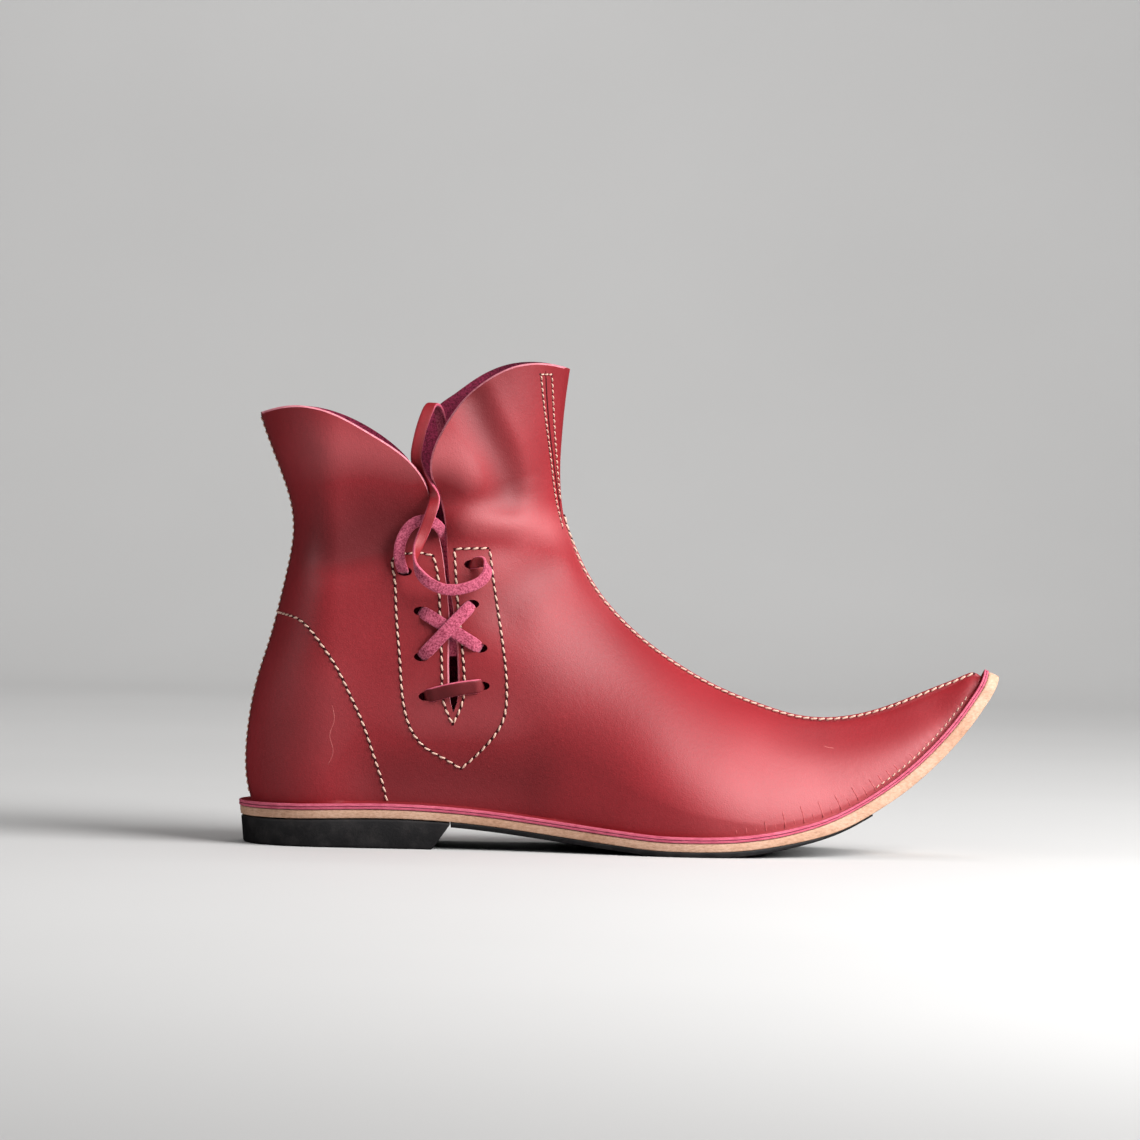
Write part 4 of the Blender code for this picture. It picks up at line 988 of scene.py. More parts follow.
def sewn_ridge(u, share):
    """Columns of the seam that stands up along the ridge, for each half from the seam's foot to its middle.

    Between the foot point and the ridge point, raised by FIN_RISE, the seam follows FIN_SHAPE: share of its
    half width, share of its height. Where the seam fades out, the columns lie on the plain face.
    """
    low, high = edge_point(u), RIDGE_SPLINE(u)
    strength = fade(high[:, 0], *FIN_BACK) * fade(u, *FIN_TIP)
    foot = low * (1.0 - share[:, None]) + high * share[:, None]
    peak = high + ridge_out(u) * FIN_RISE
    columns = {LATERAL: [], MEDIAL: []}
    for number, (wide, tall) in enumerate(FIN_SHAPE):
        part = (number + 1.0) / len(FIN_SHAPE)
        plain = foot * (1.0 - part) + high * part
        raised = foot * (1.0 - tall) + peak * tall
        flat = plain * (1.0 - strength[:, None]) + raised * strength[:, None]
        for side in (LATERAL, MEDIAL):
            plain_half = half_width(plain[:, 0], plain[:, 1], side)
            half = plain_half * (1.0 - strength) + FIN_HALF * wide * strength
            if number == len(FIN_SHAPE) - 1:
                half = np.zeros_like(half)
            columns[side].append(np.stack([flat[:, 0], side * half, flat[:, 1]], axis=-1))
    return [np.stack(columns[side], axis=1) for side in (LATERAL, MEDIAL)]


def lid_faces(long_row, short_row):
    """Faces between two rows: each step of the long row meets its nearest point on the short one."""
    near = np.round(np.linspace(0.0, len(short_row) - 1.0, len(long_row))).astype(int)
    first, second = short_row[near[:-1]], short_row[near[1:]]
    quads = np.stack([long_row[:-1], long_row[1:], second, first], axis=-1).tolist()
    return [quad[:3] if quad[2] == quad[3] else quad for quad in quads]


def upper_shell():
    """Closed shell of the upper: outer wall with its sewn ridge, inner wall, flange ring and a plain top."""
    u = upper_rows()
    share = section_share(u, FIN_HALF)
    share[0] = share[1]
    lateral, medial = section_grid(u, share, OUTER_COLUMNS)
    ridge_lateral, ridge_medial = sewn_ridge(u, share)
    outer = np.concatenate([lateral, ridge_lateral, ridge_medial[:, -2::-1], medial[:, ::-1]], axis=1)
    lag = np.clip(1.0 - u / (2.0 * INNER_START), 0.0, 1.0)
    inner_u = u + INNER_START * lag ** 2
    lateral, medial = section_grid(inner_u, section_share(inner_u, INNER_RIDGE), INNER_COLUMNS)
    lateral[:, -1, 1] = 0.0
    base = np.concatenate([lateral, medial[:, -2::-1]], axis=1)
    middle = lateral.shape[1] - 1
    thick = np.full(base.shape[:2], WALL)
    thick[:, middle] *= 1.0 - fade(base[:, middle, 0], *INNER_FORE)
    inner = base - thick[..., None] * grid_normals(base, inner_u)
    on_foot = u <= U_HEEL
    edge = int(on_foot.sum())
    foot_u = u[on_foot]
    bottom = sole_ring(inner_u[on_foot], -WALL, FLANGE_THICK)
    inner[on_foot, 0] = bottom[0]
    inner[on_foot, -1] = bottom[1]
    inner[0] = (bottom[0][0] + bottom[1][0]) / 2.0
    inner[0, :, 1] = 0.0
    # Rings round the flange edge: offset, depth, finish. The mauve rings paint shade in the edge's groove and
    # on its lower part.
    profile = [
        (0.9, 0.12, GRAIN_FACE), (FLANGE_WIDTH - 0.45, 0.0, GRAIN_FACE), (FLANGE_WIDTH - 0.1, 0.14, RAW_FACE),
        (FLANGE_WIDTH, 0.45, RAW_FACE), (FLANGE_WIDTH - 0.05, 1.1, RAW_FACE),
        (FLANGE_WIDTH - 0.3, 1.28, LOW_FACE), (FLANGE_WIDTH - 0.06, 1.46, LOW_FACE),
        (FLANGE_WIDTH - 0.05, 2.05, RAW_FACE), (FLANGE_WIDTH - 0.25, FLANGE_THICK - 0.06, RAW_FACE),
        (FLANGE_WIDTH - 0.7, FLANGE_THICK, LOW_FACE),
    ]
    thinner = 1.0 - FLANGE_TOE_THIN * toe_share(foot_u)
    rings = [sole_ring(foot_u, offset, depth * thinner) for offset, depth, slot in profile]
    points = [outer.reshape(-1, 3), inner.reshape(-1, 3)]
    rows = len(u)
    outer_id = np.arange(rows * outer.shape[1]).reshape(rows, -1)
    inner_id = outer_id.size + np.arange(rows * inner.shape[1]).reshape(rows, -1)
    count = outer_id.size + inner_id.size
    lines = [np.concatenate([outer_id[:edge, 0], outer_id[:edge, -1][::-1]])]
    for ring_lateral, ring_medial in rings:
        points += [ring_lateral, ring_medial[::-1]]
        lines.append(np.arange(count, count + 2 * edge))
        count += 2 * edge
    lines.append(np.concatenate([inner_id[:edge, 0], inner_id[:edge, -1][::-1]]))
    faces = [grid_quads(outer_id), grid_quads(inner_id)]
    slots = [np.full(len(faces[0]), GRAIN_FACE), np.full(len(faces[1]), NAP_FACE)]
    ring_slots = [slot for offset, depth, slot in profile] + [NAP_FACE]
    for first, second, slot in zip(lines[:-1], lines[1:], ring_slots):
        quads = grid_quads(np.stack([first, second]))
        faces.append(quads)
        slots.append(np.full(len(quads), slot))
    quads = np.concatenate(faces).tolist()
    slot_list = np.concatenate(slots).tolist()
    lid = lid_faces(outer_id[-1], inner_id[-1])
    quads += lid
    slot_list += [GRAIN_FACE] * len(lid)
    return make_mesh("upper_leather", np.concatenate(points), quads, UPPER_FINISHES, slot_list)


def tunnel(rings):
    """Points and faces of a closed tunnel through rings of equal length, with a lid at each end."""
    return np.concatenate(rings), tube_faces(len(rings), len(rings[0]))


def at_depth(flat, y):
    """Side-view points put at a Y, one value or one for each point."""
    return np.stack([flat[:, 0], np.broadcast_to(y, len(flat)), flat[:, 1]], axis=-1)


def cutter(name, shapes):
    """One object of several tunnels, each with the finish slot that its cut faces get."""
    return make_many(name, [(*tunnel(rings), slot) for rings, slot in shapes], UPPER_FINISHES)


def collar_cut(back_flap, front_flap, side):
    """Rings of everything above a collar edge, with the slit where the two flaps meet.

    Through the wall the edge leans: the cut takes CUT_LEAN more for each millimetre further out, so that the
    raw edge shows from the side. Where the slit is narrow it leans less, and not at all at the slit's foot.
    """
    edge = np.concatenate([chord_curve(back_flap, FLAP_SAMPLES), chord_curve(front_flap, FLAP_SAMPLES)[1:]])
    along = np.gradient(edge, axis=0)
    along /= np.linalg.norm(along, axis=1, keepdims=True)
    run = run_length(edge)
    from_foot = np.abs(run - run[FLAP_SAMPLES - 1])
    narrow = 1.0 - SLIT_LEAN_LESS * fade(edge[:, 1], *SLIT_LOW) * fade(edge[:, 1], *SLIT_HIGH)
    lean = CUT_LEAN * narrow * fade(from_foot, *SLIT_FOOT)
    into_leather = np.stack([along[:, 1], -along[:, 0]], axis=-1) * lean[:, None]
    lids = np.array([(edge[-1, 0], BLANK_TOP), (edge[0, 0], BLANK_TOP)])
    half = np.maximum(half_width(edge[:, 0], edge[:, 1], side), CUT_LEAST)
    half = np.concatenate([half, half[[-1, 0]]])
    outside = np.concatenate([edge + CUT_OUTSIDE * into_leather, lids])
    inside = np.concatenate([edge - CUT_INSIDE * into_leather, lids])
    return [
        at_depth(outside, side * CUT_DEPTH), at_depth(outside, side * (half + CUT_OUTSIDE)),
        at_depth(inside, side * (half - CUT_INSIDE)), at_depth(inside, -side * CUT_OVERLAP),
    ]


def cut_upper(upper):
    """Cut collar, slit and lace holes, then keep the result as a plain mesh."""
    # The collar and slit cut faces take the pale edge finish with its painted highlight.
    shapes = [(collar_cut(LATERAL_BACK_FLAP, LATERAL_FRONT_FLAP, LATERAL), RIM_FACE)]
    turn = np.linspace(0.0, 2.0 * math.pi, HOLE_SIDES, endpoint=False)
    for x, z in BACK_HOLES + FRONT_HOLES:
        oval = np.stack([x + HOLE_LONG / 2.0 * np.cos(turn), z + HOLE_SHORT / 2.0 * np.sin(turn)], axis=-1)
        depth = LATERAL * half_width(x, z, LATERAL)
        # Lace hole walls take the near-black finish, painted shade in the holes.
        shapes.append(([at_depth(oval, depth - HOLE_DEPTH), at_depth(oval, depth + HOLE_DEPTH)], HOLE_FACE))
    tools = [
        cutter("cut_lateral", shapes),
        cutter("cut_medial", [(collar_cut(MEDIAL_BACK_FLAP, MEDIAL_FRONT_FLAP, MEDIAL), RIM_FACE)]),
    ]
    for tool in tools:
        step = upper.modifiers.new(tool.name, "BOOLEAN")
        step.operation = "DIFFERENCE"
        step.solver = "EXACT"
        step.object = tool
    depsgraph = bpy.context.evaluated_depsgraph_get()
    finished = bpy.data.meshes.new_from_object(upper.evaluated_get(depsgraph))
    upper.modifiers.clear()
    upper.data = finished
    for tool in tools:
        bpy.data.objects.remove(tool, do_unlink=True)
    finished.shade_smooth()
    finished.set_sharp_from_angle(angle=math.radians(UPPER_SHARP))


def tone_upper(upper):
    """Attribute tone: how far the folds push each point out, above 0 on crests and below 0 in hollows.

    The sides of the toe add a painted highlight, from some way off the ridge down to the flange.
    """
    mesh = upper.data
    place = np.empty(len(mesh.vertices) * 3)
    mesh.vertices.foreach_get("co", place)
    place = place.reshape(-1, 3) / MM + np.array([X_MIDDLE, 0.0, 0.0])
    lateral, medial = [creases(place[:, 0], place[:, 2], side) for side in (LATERAL, MEDIAL)]
    tone = np.where(place[:, 1] < 0.0, lateral, medial)
    reach = ridge_distance(place[:, 0], place[:, 2])[0]
    # Painted highlight on the sides of the toe.
    tone += TOE_HIGHLIGHT * fade(place[:, 0], *TOE_HIGHLIGHT_FORE) * fade(reach, *TOE_HIGHLIGHT_RIDGE)
    layer = mesh.attributes.new("tone", "FLOAT", "POINT")
    layer.data.foreach_set("value", tone.astype(np.float32))


# Sewing.


def row_on_skin(line, side, lift, samples=240):
    """Path over the upper's face along a side-view line, and the face's normals."""
    flat = chord_curve(line, samples) if len(line) > 2 else np.linspace(line[0], line[1], samples)
    return skin(flat[:, 0], flat[:, 1], side, lift)


def spaced(path, normal, pitch):
    """Points, directions and normals at even spacing along a path, and the spacing that fits its length."""
    run = run_length(path)
    count = max(int(round(run[-1] / pitch)), 1)
    at = (np.arange(count) + 0.5) * run[-1] / count
    along = np.gradient(path, axis=0) / np.maximum(np.gradient(run), 1e-9)[:, None]
    pick = [
        np.stack([np.interp(at, run, values[:, i]) for i in range(3)], axis=1)
        for values in (path, along, normal)
    ]
    return (*pick, run[-1] / count)


def stitch_template(sides=6):
    """One stitch, from -1 to 1 along each axis: a rounded thread whose ends dip into the leather."""
    a = np.array([-1.0, -0.86, -0.5, 0.0, 0.5, 0.86, 1.0])
    girth = np.array([0.35, 0.8, 1.0, 1.0, 1.0, 0.8, 0.35])
    turn = np.linspace(0.0, 2.0 * math.pi, sides, endpoint=False)
    grid = np.stack([
        np.repeat(a[:, None], sides, axis=1), girth[:, None] * np.cos(turn)[None, :],
        girth[:, None] * np.sin(turn)[None, :] - 1.1 * np.abs(a[:, None]) ** 3,
    ], axis=-1)
    return grid.reshape(-1, 3), tube_faces(len(a), sides)


def dimple_template(sides=6):
    """One needle hole: a low dome that carries the painted shade of the hole."""
    turn = np.linspace(0.0, 2.0 * math.pi, sides, endpoint=False)
    rim = np.stack([np.cos(turn), np.sin(turn), np.full(sides, -0.5)], axis=-1)
    crown = np.stack([0.6 * np.cos(turn), 0.6 * np.sin(turn), np.full(sides, 0.6)], axis=-1)
    return np.concatenate([rim, crown]), tube_faces(2, sides)


def copies(template, centre, along, normal, size):
    """Copies of a template at each centre, its axes along the path, across it and along the normal."""
    points, faces = template
    across = np.cross(normal, along)
    across /= np.linalg.norm(across, axis=1, keepdims=True)
    along = np.cross(across, normal)
    along /= np.linalg.norm(along, axis=1, keepdims=True)
    scaled = points[None, :, :] * np.broadcast_to(size, (len(centre), 3))[:, None, :]
    place = centre[:, None, :] + scaled[..., 0:1] * along[:, None, :]
    place = place + scaled[..., 1:2] * across[:, None, :] + scaled[..., 2:3] * normal[:, None, :]
    every = [[n + k * len(points) for n in face] for k in range(len(centre)) for face in faces]
    return place.reshape(-1, 3), every


def ridge_side(side, low_u, high_u, height, samples=500):
    """Path along one flank of the sewn ridge and the flank's normals."""
    u = np.linspace(low_u, high_u, samples)
    out = ridge_out(u)
    flat = RIDGE_SPLINE(u) + out * height
    path = np.stack([flat[:, 0], np.full(samples, side * FIN_HALF * 0.94), flat[:, 1]], axis=-1)
    normal = np.stack([0.35 * out[:, 0], np.full(samples, side), 0.35 * out[:, 1]], axis=-1)
    return path, normal / np.linalg.norm(normal, axis=1, keepdims=True)


def sole_seam(side, samples=200):
    """Path of the seam's stitches round the toe: on the upper's face, SEAM_RISE above the flange."""
    run = np.linspace(*np.interp(SOLE_SEAM_SPAN, *FEATHER_BY_X), samples)
    foot, up = flange_frame(run)
    flat = foot + up * SEAM_RISE
    return skin(flat[:, 0], flat[:, 1], side, SOLE_LIFT)


def back_seam_row(side, samples=300):
    """Path of the stitches beside the back seam: where the upper is BACK_ROW from its middle plane."""
    z = np.linspace(*BACK_SEAM_SPAN, samples)
    reach = np.linspace(0.0, 1.0, 80)[:, None] ** 2 * 6.0
    x = BACK_SPLINE(z)[None, :] + reach
    half = half_width(x, np.broadcast_to(z, x.shape), side)
    share = np.argmax(half > BACK_ROW, axis=0)
    return skin(x[share, np.arange(samples)], z, side, BACK_LIFT)


def make_back_seam():
    """Dark gap of the back seam: a low band down the middle of the upper's back that paints the seam's shade.
    """
    z = np.linspace(*BACK_GAP_SPAN, 160)
    x = BACK_SPLINE(z)
    lean = np.gradient(x, z)
    path = np.stack([x, np.zeros(len(z)), z], axis=-1)
    normal = np.stack([-np.ones(len(z)), np.zeros(len(z)), lean], axis=-1)
    normal /= np.linalg.norm(normal, axis=1, keepdims=True)
    made = band(path, normal, BACK_GAP, BACK_GAP_HIGH)
    return settle(make_mesh("back_seam_gap", *made, [SEAM_SHADE]), "upper_leather")


def sewn_rows():
    """Every stitch row: path, normals, pitch, length, width."""
    lines = [COUNTER_LINE, EYESTAY_BACK, EYESTAY_FRONT, EYESTAY_TOP, SLIT_FRONT, SLIT_BACK]
    rows = [(*row_on_skin(line, LATERAL, ROW_LIFT), *USUAL_ROW) for line in lines]
    rows += [(*row_on_skin(COUNTER_LINE, MEDIAL, ROW_LIFT), *USUAL_ROW)]
    lines = [FRONT_SEAM_LEFT, FRONT_SEAM_RIGHT, FRONT_SEAM_BAR]
    rows += [(*row_on_skin(line, LATERAL, FINE_LIFT), *FINE_ROW) for line in lines]
    for side in (LATERAL, MEDIAL):
        rows.append((*ridge_side(side, *RIDGE_SPAN, RIDGE_ROW_HIGH), *RIDGE_ROW))
        rows.append((*back_seam_row(side), *HEEL_ROW))
        rows.append((*sole_seam(side), *SOLE_ROW))
    return rows


def make_stitches():
    """All stitches as one piece, with needle holes in its second slot; the finest rows have no holes."""
    thread, hole = stitch_template(), dimple_template()
    parts = []
    for path, normal, pitch, long, wide in sewn_rows():
        centre, along, up, real = spaced(path, normal, pitch)
        slant = along + STITCH_SLANT * np.cross(up, along)
        size = (long / 2.0, wide / 2.0, STITCH_HIGH / 2.0)
        parts.append((*copies(thread, centre + up * STITCH_LIFT, slant, up, size), 0))
        if wide > SEAM_WIDE:
            ends = np.concatenate([centre - along * real / 2.0, (centre + along * real / 2.0)[-1:]])
            end_along = np.concatenate([along, along[-1:]])
            end_up = np.concatenate([up, up[-1:]])
            # Needle holes: small dark domes that paint the shade in each hole.
            parts.append((*copies(hole, ends - end_up * PINHOLE_SINK, end_along, end_up, PINHOLE_SIZE), 1))
    return settle(make_many("stitches", parts, [THREAD, PINHOLE], STITCH_SHARP), None)


def make_pleats():
    """Fine raised lines of gathered leather over the sole seam of the forepart, one every GATHER_PITCH, in a
    paler red that paints a highlight on them.

    Each starts just over the flange and runs up the face square to the seam. Its length, 1 to 7 mm, follows
    two slow waves and is less at the ball and at the tip.
    """
    ridge = stitch_template()
    parts = []
    for side in (LATERAL, MEDIAL):
        run = np.arange(*np.interp(PLEAT_SPAN, *FEATHER_BY_X), GATHER_PITCH)
        foot, up = flange_frame(run)
        long = PLEAT_LONG + 1.4 * np.sin(run * 0.71) + 0.9 * np.sin(run * 2.3)
        long = long * (1.0 - PLEAT_LESS + PLEAT_LESS * fade(foot[:, 0], *PLEAT_BALL))
        long = long * (1.0 - PLEAT_LESS * fade(foot[:, 0], *PLEAT_TIP))
        ends = [foot + up * (PLEAT_FOOT + share * long)[:, None] for share in (0.0, 0.5, 1.0)]
        low, middle, high = [skin(flat[:, 0], flat[:, 1], side, 0.0) for flat in ends]
        along = high[0] - low[0]
        size = np.full((len(run), 3), (0.0, PLEAT_HALF_WIDE, PLEAT_HALF_HIGH))
        size[:, 0] = np.linalg.norm(along, axis=1) / 2.0
        parts.append((*copies(ridge, middle[0], along, middle[1], size), 0))
    return settle(make_many("pleat_lines", parts, [PLEAT], STITCH_SHARP), "upper_leather")


def band(path, normal, wide, high):
    """Points and faces of a low band along a path: a shallow arch in section, tapered at both ends."""
    along = np.gradient(path, axis=0)
    across = np.cross(normal, along)
    across /= np.linalg.norm(across, axis=1, keepdims=True)
    taper = np.sqrt(np.clip(1.0 - np.linspace(-1.0, 1.0, len(path)) ** 6, 0.02, 1.0))
    section = [(-1.0, -0.3), (-0.6, 0.7), (0.0, 1.0), (0.6, 0.7), (1.0, -0.3), (0.0, -1.0)]
    rings = [path + across * (a * wide / 2.0 * taper)[:, None] + normal * b * high for a, b in section]
    return np.stack(rings, axis=1).reshape(-1, 3), tube_faces(len(path), len(section))


def ribbon(name, line, wide, high, material):
    """Band along a line on the upper's lateral face."""
    made = band(*row_on_skin(line, LATERAL, 0.0, 200), wide, high)
    return settle(make_mesh(name, *made, [material]), "upper_leather")


def make_grooves():
    """Dark bands along the rows of long stitches: painted shade of the grooves they lie in."""
    parts = []
    for path, normal, pitch, long, wide in sewn_rows():
        if long >= STITCH_LONG:
            sunk = path[::2] - GROOVE_SINK * normal[::2]
            parts.append((*band(sunk, normal[::2], GROOVE_WIDE, GROOVE_HIGH), 0))
    return settle(make_many("stitch_grooves", parts, [SEAM_SHADE]), "upper_leather")


# Sole.


def sole_rows(back, front, fine):
    """Section numbers of the sole between two stations; past the heel the rows run round its back."""
    u_toe = 2
    every = np.concatenate([
        np.linspace(0.0, u_toe, u_toe * fine * 2 + 1),
        np.linspace(u_toe, U_HEEL_START, (U_HEEL_START - u_toe) * fine + 1)[1:],
        np.linspace(U_HEEL_START, U_HEEL, 28)[1:],
    ])
    search = np.linspace(0.0, U_HEEL_START, 6000)
    ends = [search[np.argmin(np.abs(foot_station(search) - limit))] for limit in (front, back)]
    first = 0.0 if front >= TOE_POINT else ends[0]
    last = U_HEEL if back <= HEEL_BACK else ends[1]
    inside = every[(every > first + 0.02) & (every < last - 0.02)]
    return np.concatenate([[first], inside, [last]])


def closed_plate(name, rings, material):
    """Bent plate through rings of points from its top to its bottom, closed across at both."""
    count = len(rings[0][0])
    ids = np.arange(len(rings) * 2 * count).reshape(len(rings), 2, count)
    faces = []
    for high, low in zip(ids[:-1], ids[1:]):
        faces += [grid_quads(np.stack([high[side], low[side]])) for side in (0, 1)]
        faces += [grid_quads(np.stack([high[:, end], low[:, end]])) for end in (0, -1)]
    faces += [grid_quads(ids[0]), grid_quads(ids[-1])]
    points = np.concatenate([half for pair in rings for half in pair])
    return make_mesh(name, points, np.concatenate(faces).tolist(), [material], None, PLATE_SHARP)


def rounded_edge(width, top, thick, corner, lean):
    """Offsets and depths round a plate's edge: rounded top corner, leaning side, rounded bottom corner."""
    turn = np.radians([0.0, 30.0, 60.0, 90.0])
    foot, bottom = width - lean, top + thick
    high = [(width - corner + corner * math.sin(t), top + corner - corner * math.cos(t)) for t in turn]
    low = [(foot - corner + corner * math.cos(t), bottom - corner + corner * math.sin(t)) for t in turn]
    return high + [(width - lean * 0.5 + 0.06, top + thick * 0.5)] + low


def make_leather_sole():
    """Tan sole plate with rounded edges."""
    rows = sole_rows(HEEL_BACK, TOE_POINT, 8)
    edge = rounded_edge(FLANGE_WIDTH - LEATHER_INSET, 0.0, LEATHER_THICK, corner=0.55, lean=0.3)
    rise = FLANGE_TOE_THIN * FLANGE_THICK * toe_share(rows)
    thicker = 1.0 + (rise + LEATHER_TOE_EXTRA * toe_share(rows)) / LEATHER_THICK
    top = LEATHER_TOP - LEATHER_SUNK - rise
    rings = [sole_ring(rows, offset, top + depth * thicker) for offset, depth in edge]
    return settle(closed_plate("tan_sole", rings, SOLE_TAN), "sole_leather", "leather_sole")


def make_rubber_sole():
    """Black sheet under the forepart, thinner towards the toe."""
    rows = sole_rows(RUBBER_BACK, RUBBER_FRONT, 8)
    thin = RUBBER_THINNEST + (1.0 - RUBBER_THINNEST) * fade(foot_station(rows), *RUBBER_THIN)
    edge = rounded_edge(FLANGE_WIDTH - RUBBER_INSET, 0.0, RUBBER_THICK, corner=0.3, lean=0.3)
    top = RUBBER_TOP - RUBBER_SUNK + LEATHER_TOE_EXTRA * toe_share(rows)
    deeper = thin + RUBBER_SUNK / RUBBER_THICK
    rings = [sole_ring(rows, offset, top + depth * deeper) for offset, depth in edge]
    return settle(closed_plate("rubber_sheet", rings, RUBBER), "sole_rubber", "rubber_sole")


def make_insole():
    """Suede-topped board inside the flange."""
    rows = sole_rows(HEEL_BACK, INSOLE_FRONT, 6)
    thick = INSOLE_RISE + FLANGE_THICK
    edge = rounded_edge(-WALL - INSOLE_CLEAR, -INSOLE_RISE, thick, corner=0.4, lean=0.0)
    rings = [sole_ring(rows, offset, depth) for offset, depth in edge]
    return settle(closed_plate("insole_board", rings, INSOLE_NAP), "insole_leather", "insole")


def make_heel():
    """Rubber heel: rings from the sole down to the ground, its front face sloped back.

    HEEL_RINGS gives each ring's share of the way down and how far its corner is tucked in.
    """
    rows = sole_rows(HEEL_BACK, HEEL_FRONT_TOP, 10)
    width = FLANGE_WIDTH - RUBBER_INSET
    tops = sole_ring(rows, width, RUBBER_TOP)
    feet = sole_ring(rows, width - HEEL_TAPER, RUBBER_TOP)
    shrink = (HEEL_FRONT_BOTTOM - HEEL_BACK) / (HEEL_FRONT_TOP - HEEL_BACK)
    for ring in feet:
        drawn_in = HEEL_BACK + (ring[:, 0] - HEEL_BACK) * shrink
        ring[:, 0] = np.where(ring[:, 0] > HEEL_BACK, drawn_in, ring[:, 0])
        ring[:, 2] = 0.0
    middle = np.array([HEEL_MIDDLE, 0.0, 0.0])
    rings = []
    for down, tuck in HEEL_RINGS:
        ring_pair = []
        for top, foot in zip(tops, feet):
            ring = top * (1.0 - down) + foot * down
            pull = np.array([1.0, 1.0, 0.0]) * (ring - middle)
            pull /= np.maximum(np.linalg.norm(pull, axis=1, keepdims=True), 1e-6)
            ring_pair.append(ring - pull * tuck)
        rings.append(ring_pair)
    return settle(closed_plate("rubber_heel", rings, RUBBER), "sole_rubber", "heel_block")


# Laces.


def strip_mesh(name, centre, across, wide, thick, face, back, edge):
    """Flat lace: a rounded oblong carried along the centre line, its faces and edges each with a finish."""
    along = np.gradient(centre, axis=0)
    along /= np.linalg.norm(along, axis=1, keepdims=True)
    across = across - np.sum(across * along, axis=1, keepdims=True) * along
    across /= np.linalg.norm(across, axis=1, keepdims=True)
    normal = np.cross(along, across)
    half_step = math.pi / LACE_SIDES
    turn = np.linspace(0.0, 2.0 * math.pi, LACE_SIDES, endpoint=False) + half_step
    a = np.sign(np.cos(turn)) * np.abs(np.cos(turn)) ** 0.42
    b = np.sign(np.sin(turn)) * np.abs(np.sin(turn)) ** 0.55
    grid = centre[:, None, :] + across[:, None, :] * (a[None, :] * wide[:, None] / 2.0)[..., None]
    grid = grid + normal[:, None, :] * (b[None, :] * thick[:, None] / 2.0)[..., None]
    middle = turn + half_step
    ring_slot = np.where(np.abs(np.cos(middle)) > 0.9, 2, np.where(np.sin(middle) > 0.0, 0, 1))
    faces = tube_faces(len(centre), LACE_SIDES)
    slots = np.tile(ring_slot, len(centre) - 1).tolist() + [2, 2]
    return make_mesh(name, grid.reshape(-1, 3), faces, [face, back, edge], slots, LACE_SHARP)


def lace_crossing(start, finish, rise, bow=0.0, turn=0.0, wide=RUN_WIDE, samples=61):
    """Lace run over the lateral face: its centre line, width directions, widths and thicknesses.

    Its ends go down into two holes. Between them the run rises off the leather and bows upwards, and its face
    turns down by turn degrees.
    """
    t = np.linspace(-RUN_OVER, 1.0 + RUN_OVER, samples)
    inside = np.clip(t, 0.0, 1.0)
    x = start[0] + (finish[0] - start[0]) * inside
    z = start[1] + (finish[1] - start[1]) * inside + bow * np.sin(math.pi * inside)
    lift = LACE_LIFT + LACE_THICK / 2.0 + rise * np.sin(math.pi * inside) ** 2
    dive = fade(np.minimum(t, 1.0 - t), *RUN_DIVE)
    lift = lift * (1.0 - dive) - RUN_DEEP * dive
    centre, normal = skin(x, z, LATERAL, lift)
    heading = np.array([finish[0] - start[0], 0.0, finish[1] - start[1]])
    across = np.cross(normal, np.broadcast_to(heading, normal.shape))
    across /= np.linalg.norm(across, axis=1, keepdims=True)
    lean = np.radians(turn) * (1.0 - dive)[:, None]
    across = across * np.cos(lean) + normal * np.sin(lean)
    return centre, across, wide * (1.0 - RUN_NARROW * dive), np.full(samples, LACE_THICK)


def make_bar():
    """Lowest lace run, grain side out, its grain in a darker copy of the red leather that paints its shade.
    """
    run = lace_crossing(BACK_HOLES[0], FRONT_HOLES[0], BAR_RISE, BAR_BOW, BAR_TURN, BAR_WIDE)
    return settle(strip_mesh("lace_low_bar", *run, SHADED_GRAIN, LACE_NAP, RAW), "lace_leather", "lace_bar")


def make_cross():
    """Crossed lace runs, suede side out, joined as one piece."""
    finishes = (LACE_NAP, GRAIN, LACE_NAP)
    under = strip_mesh("lace_crossing", *lace_crossing(BACK_HOLES[2], FRONT_HOLES[1], 0.0), *finishes)
    over = strip_mesh("lace_over", *lace_crossing(BACK_HOLES[1], FRONT_HOLES[2], CROSS_RISE), *finishes)
    with bpy.context.temp_override(active_object=under, selected_editable_objects=[under, over]):
        bpy.ops.object.join()
    return settle(under, "lace_leather", "lace_cross")


def loose_end(name, table, hole, face, back, edge, node):
    """Loose lace end along its table, starting inside its hole."""
    x, out, z = column(table, 0), column(table, 1), column(table, 2)
    y = LATERAL * (half_width(x, z, LATERAL) + out)
    knots = np.arange(len(table))
    fine = np.linspace(0.0, len(table) - 1.0, (len(table) - 1) * END_STEPS + 1)
    centre = natural_spline(knots, np.stack([x, y, z], axis=-1))(fine)
    across = natural_spline(knots, np.array([row[3] for row in table]))(fine)
    root, root_normal = skin(np.array([hole[0]]), np.array([hole[1]]), LATERAL, -END_DEEP)
    lead = np.linspace(0.0, 1.0, END_LEAD, endpoint=False)[:, None]
    bend = root + root_normal * END_REACH
    start = centre[:1]
    entry = root * (1.0 - lead) ** 2 + 2.0 * bend * lead * (1.0 - lead) + start * lead ** 2
    centre = np.concatenate([entry, centre])
    across = np.concatenate([np.repeat(across[:1], len(entry), axis=0), across])
    wide = LACE_WIDE * (1.0 - END_NARROW + END_NARROW * fade(np.arange(len(centre)), *END_FULL))
    thick = np.full(len(centre), LACE_THICK)
    item = strip_mesh(name, centre, across, wide, thick, face, back, edge)
    settle(item, "lace_leather", node)
    return item


# Stage.


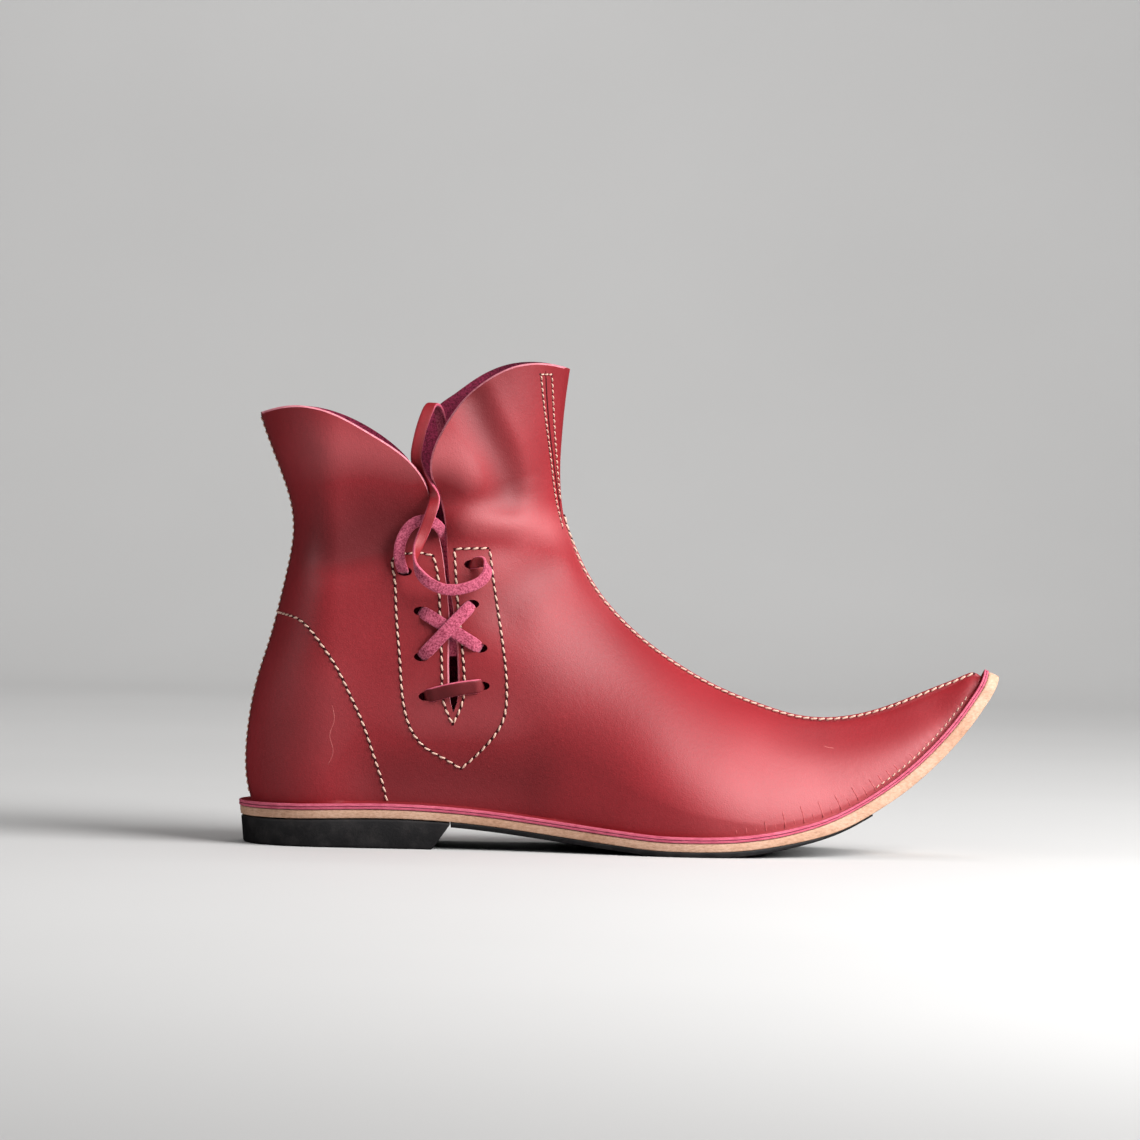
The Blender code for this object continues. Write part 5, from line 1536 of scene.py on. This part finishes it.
def make_floor():
    """Pale floor in metres, one profile along Y: a level sheet, a quarter round and a wall at the back."""
    near, back, sweep, top, reach = -4.5, 1.6, 1.2, 4.5, 5.0
    level = np.stack([np.linspace(near, back, 30), np.zeros(30)], axis=1)
    turn = np.linspace(0.0, math.pi / 2.0, 24)[1:]
    bow = np.stack([back + sweep * np.sin(turn), sweep - sweep * np.cos(turn)], axis=1)
    wall = np.stack([np.full(8, back + sweep), np.linspace(sweep + 0.1, top, 8)], axis=1)
    profile = np.concatenate([level, bow, wall])
    x = np.linspace(-reach, reach, 12)
    grid = np.stack([
        np.repeat(x[None, :], len(profile), axis=0), np.repeat(profile[:, :1], len(x), axis=1),
        np.repeat(profile[:, 1:], len(x), axis=1),
    ], axis=-1)
    ids = np.arange(len(profile) * len(x)).reshape(len(profile), -1)
    mesh = bpy.data.meshes.new("floor")
    mesh.from_pydata(grid.reshape(-1, 3).tolist(), [], grid_quads(ids).tolist())
    mesh.materials.append(flat_shade("pale_floor", (0.53, 0.525, 0.52), (0.57, 0.565, 0.56), 1.4, 0.7))
    mesh.shade_smooth()
    item = bpy.data.objects.new("floor", mesh)
    item.visible_glossy = False
    bpy.context.scene.collection.objects.link(item)


def soft_light(name, place, aim, size, power, glossy=False):
    """Square soft light at a place, turned to its aim; only a glossy one is mirrored by the leather."""
    lamp = bpy.data.lights.new(name, "AREA")
    lamp.shape = "SQUARE"
    lamp.size = size
    lamp.energy = power
    item = bpy.data.objects.new(name, lamp)
    item.location = place
    item.rotation_euler = (Vector(aim) - Vector(place)).to_track_quat("-Z", "Y").to_euler()
    item.visible_glossy = glossy
    bpy.context.scene.collection.objects.link(item)


def make_lights():
    """Soft key high on the toe side, weak top light and rim from the heel side, wall light and dim surround.

    Only the key and the rim are mirrored by the leather, so that no grey haze lies over its red.
    """
    aim = (0.0, 0.0, 0.08)
    soft_light("key", (0.90, -0.58, 0.76), (0.08, 0.0, 0.05), 0.95, 40.0, True)
    soft_light("top", (0.4, 0.1, 2.0), aim, 1.2, 6.0)
    soft_light("rim", (-1.3, -0.5, 0.7), aim, 0.7, 5.5, True)
    soft_light("wall", (0.0, 0.9, 2.0), (0.0, 2.8, 0.7), 1.4, 34.0)
    world = bpy.data.worlds.new("surround")
    world.use_nodes = True
    world.node_tree.nodes["Background"].inputs["Color"].default_value = (1.0, 1.0, 1.0, 1.0)
    world.node_tree.nodes["Background"].inputs["Strength"].default_value = 0.035
    bpy.context.scene.world = world
    world.cycles_visibility.glossy = False
    bpy.context.scene.view_settings.view_transform = "Standard"


CAMERA_PLACE = (-0.0898, -2.2, 0.145)
CAMERA_PAN = 1.759
CAMERA_TILT = 0.812
CAMERA_ROLL = 1.342
CAMERA_LENS = 169.6


def make_camera():
    """Camera at the photograph's angle: pan to the right, tilt down and roll, in degrees."""
    pan, tilt, roll = (math.radians(turn) for turn in (CAMERA_PAN, CAMERA_TILT, CAMERA_ROLL))
    ahead = Vector((math.sin(pan) * math.cos(tilt), math.cos(pan) * math.cos(tilt), -math.sin(tilt)))
    right = Vector((math.cos(pan), -math.sin(pan), 0.0))
    up = right.cross(ahead)
    side = right * math.cos(roll) + up * math.sin(roll)
    top = up * math.cos(roll) - right * math.sin(roll)
    lens = bpy.data.cameras.new("camera")
    lens.lens = CAMERA_LENS
    lens.sensor_width = 36.0
    lens.clip_end = 50.0
    item = bpy.data.objects.new("camera", lens)
    turn = Matrix((side, top, -ahead)).transposed().to_4x4()
    item.matrix_world = Matrix.Translation(CAMERA_PLACE) @ turn
    bpy.context.scene.collection.objects.link(item)
    bpy.context.scene.camera = item


make_camera()
make_floor()
make_lights()
loose_end("lace_front_end", FRONT_END, FRONT_HOLES[3], GRAIN, LACE_NAP, RAW, "lace_end_front")
loose_end("lace_back_end", BACK_END, BACK_HOLES[3], GRAIN, LACE_NAP, RAW, "lace_end_back")
make_bar()
make_cross()
boot_upper = upper_shell()
cut_upper(boot_upper)
tone_upper(boot_upper)
settle(boot_upper, "upper_leather", "upper")
make_leather_sole()
make_rubber_sole()
make_insole()
make_heel()
make_stitches()
make_grooves()
make_back_seam()
make_pleats()
# Dark band down the front seam's middle: painted shade of its gap.
ribbon("front_seam_gap", FRONT_SEAM_MIDDLE, 1.0, 0.2, SEAM_SHADE)
ribbon("heel_scratch", SCRATCH, 0.28, 0.05, RUBBED)
ribbon("toe_scuff", SCUFF, 0.5, 0.05, RUBBED)

bpy.context.view_layer.update()
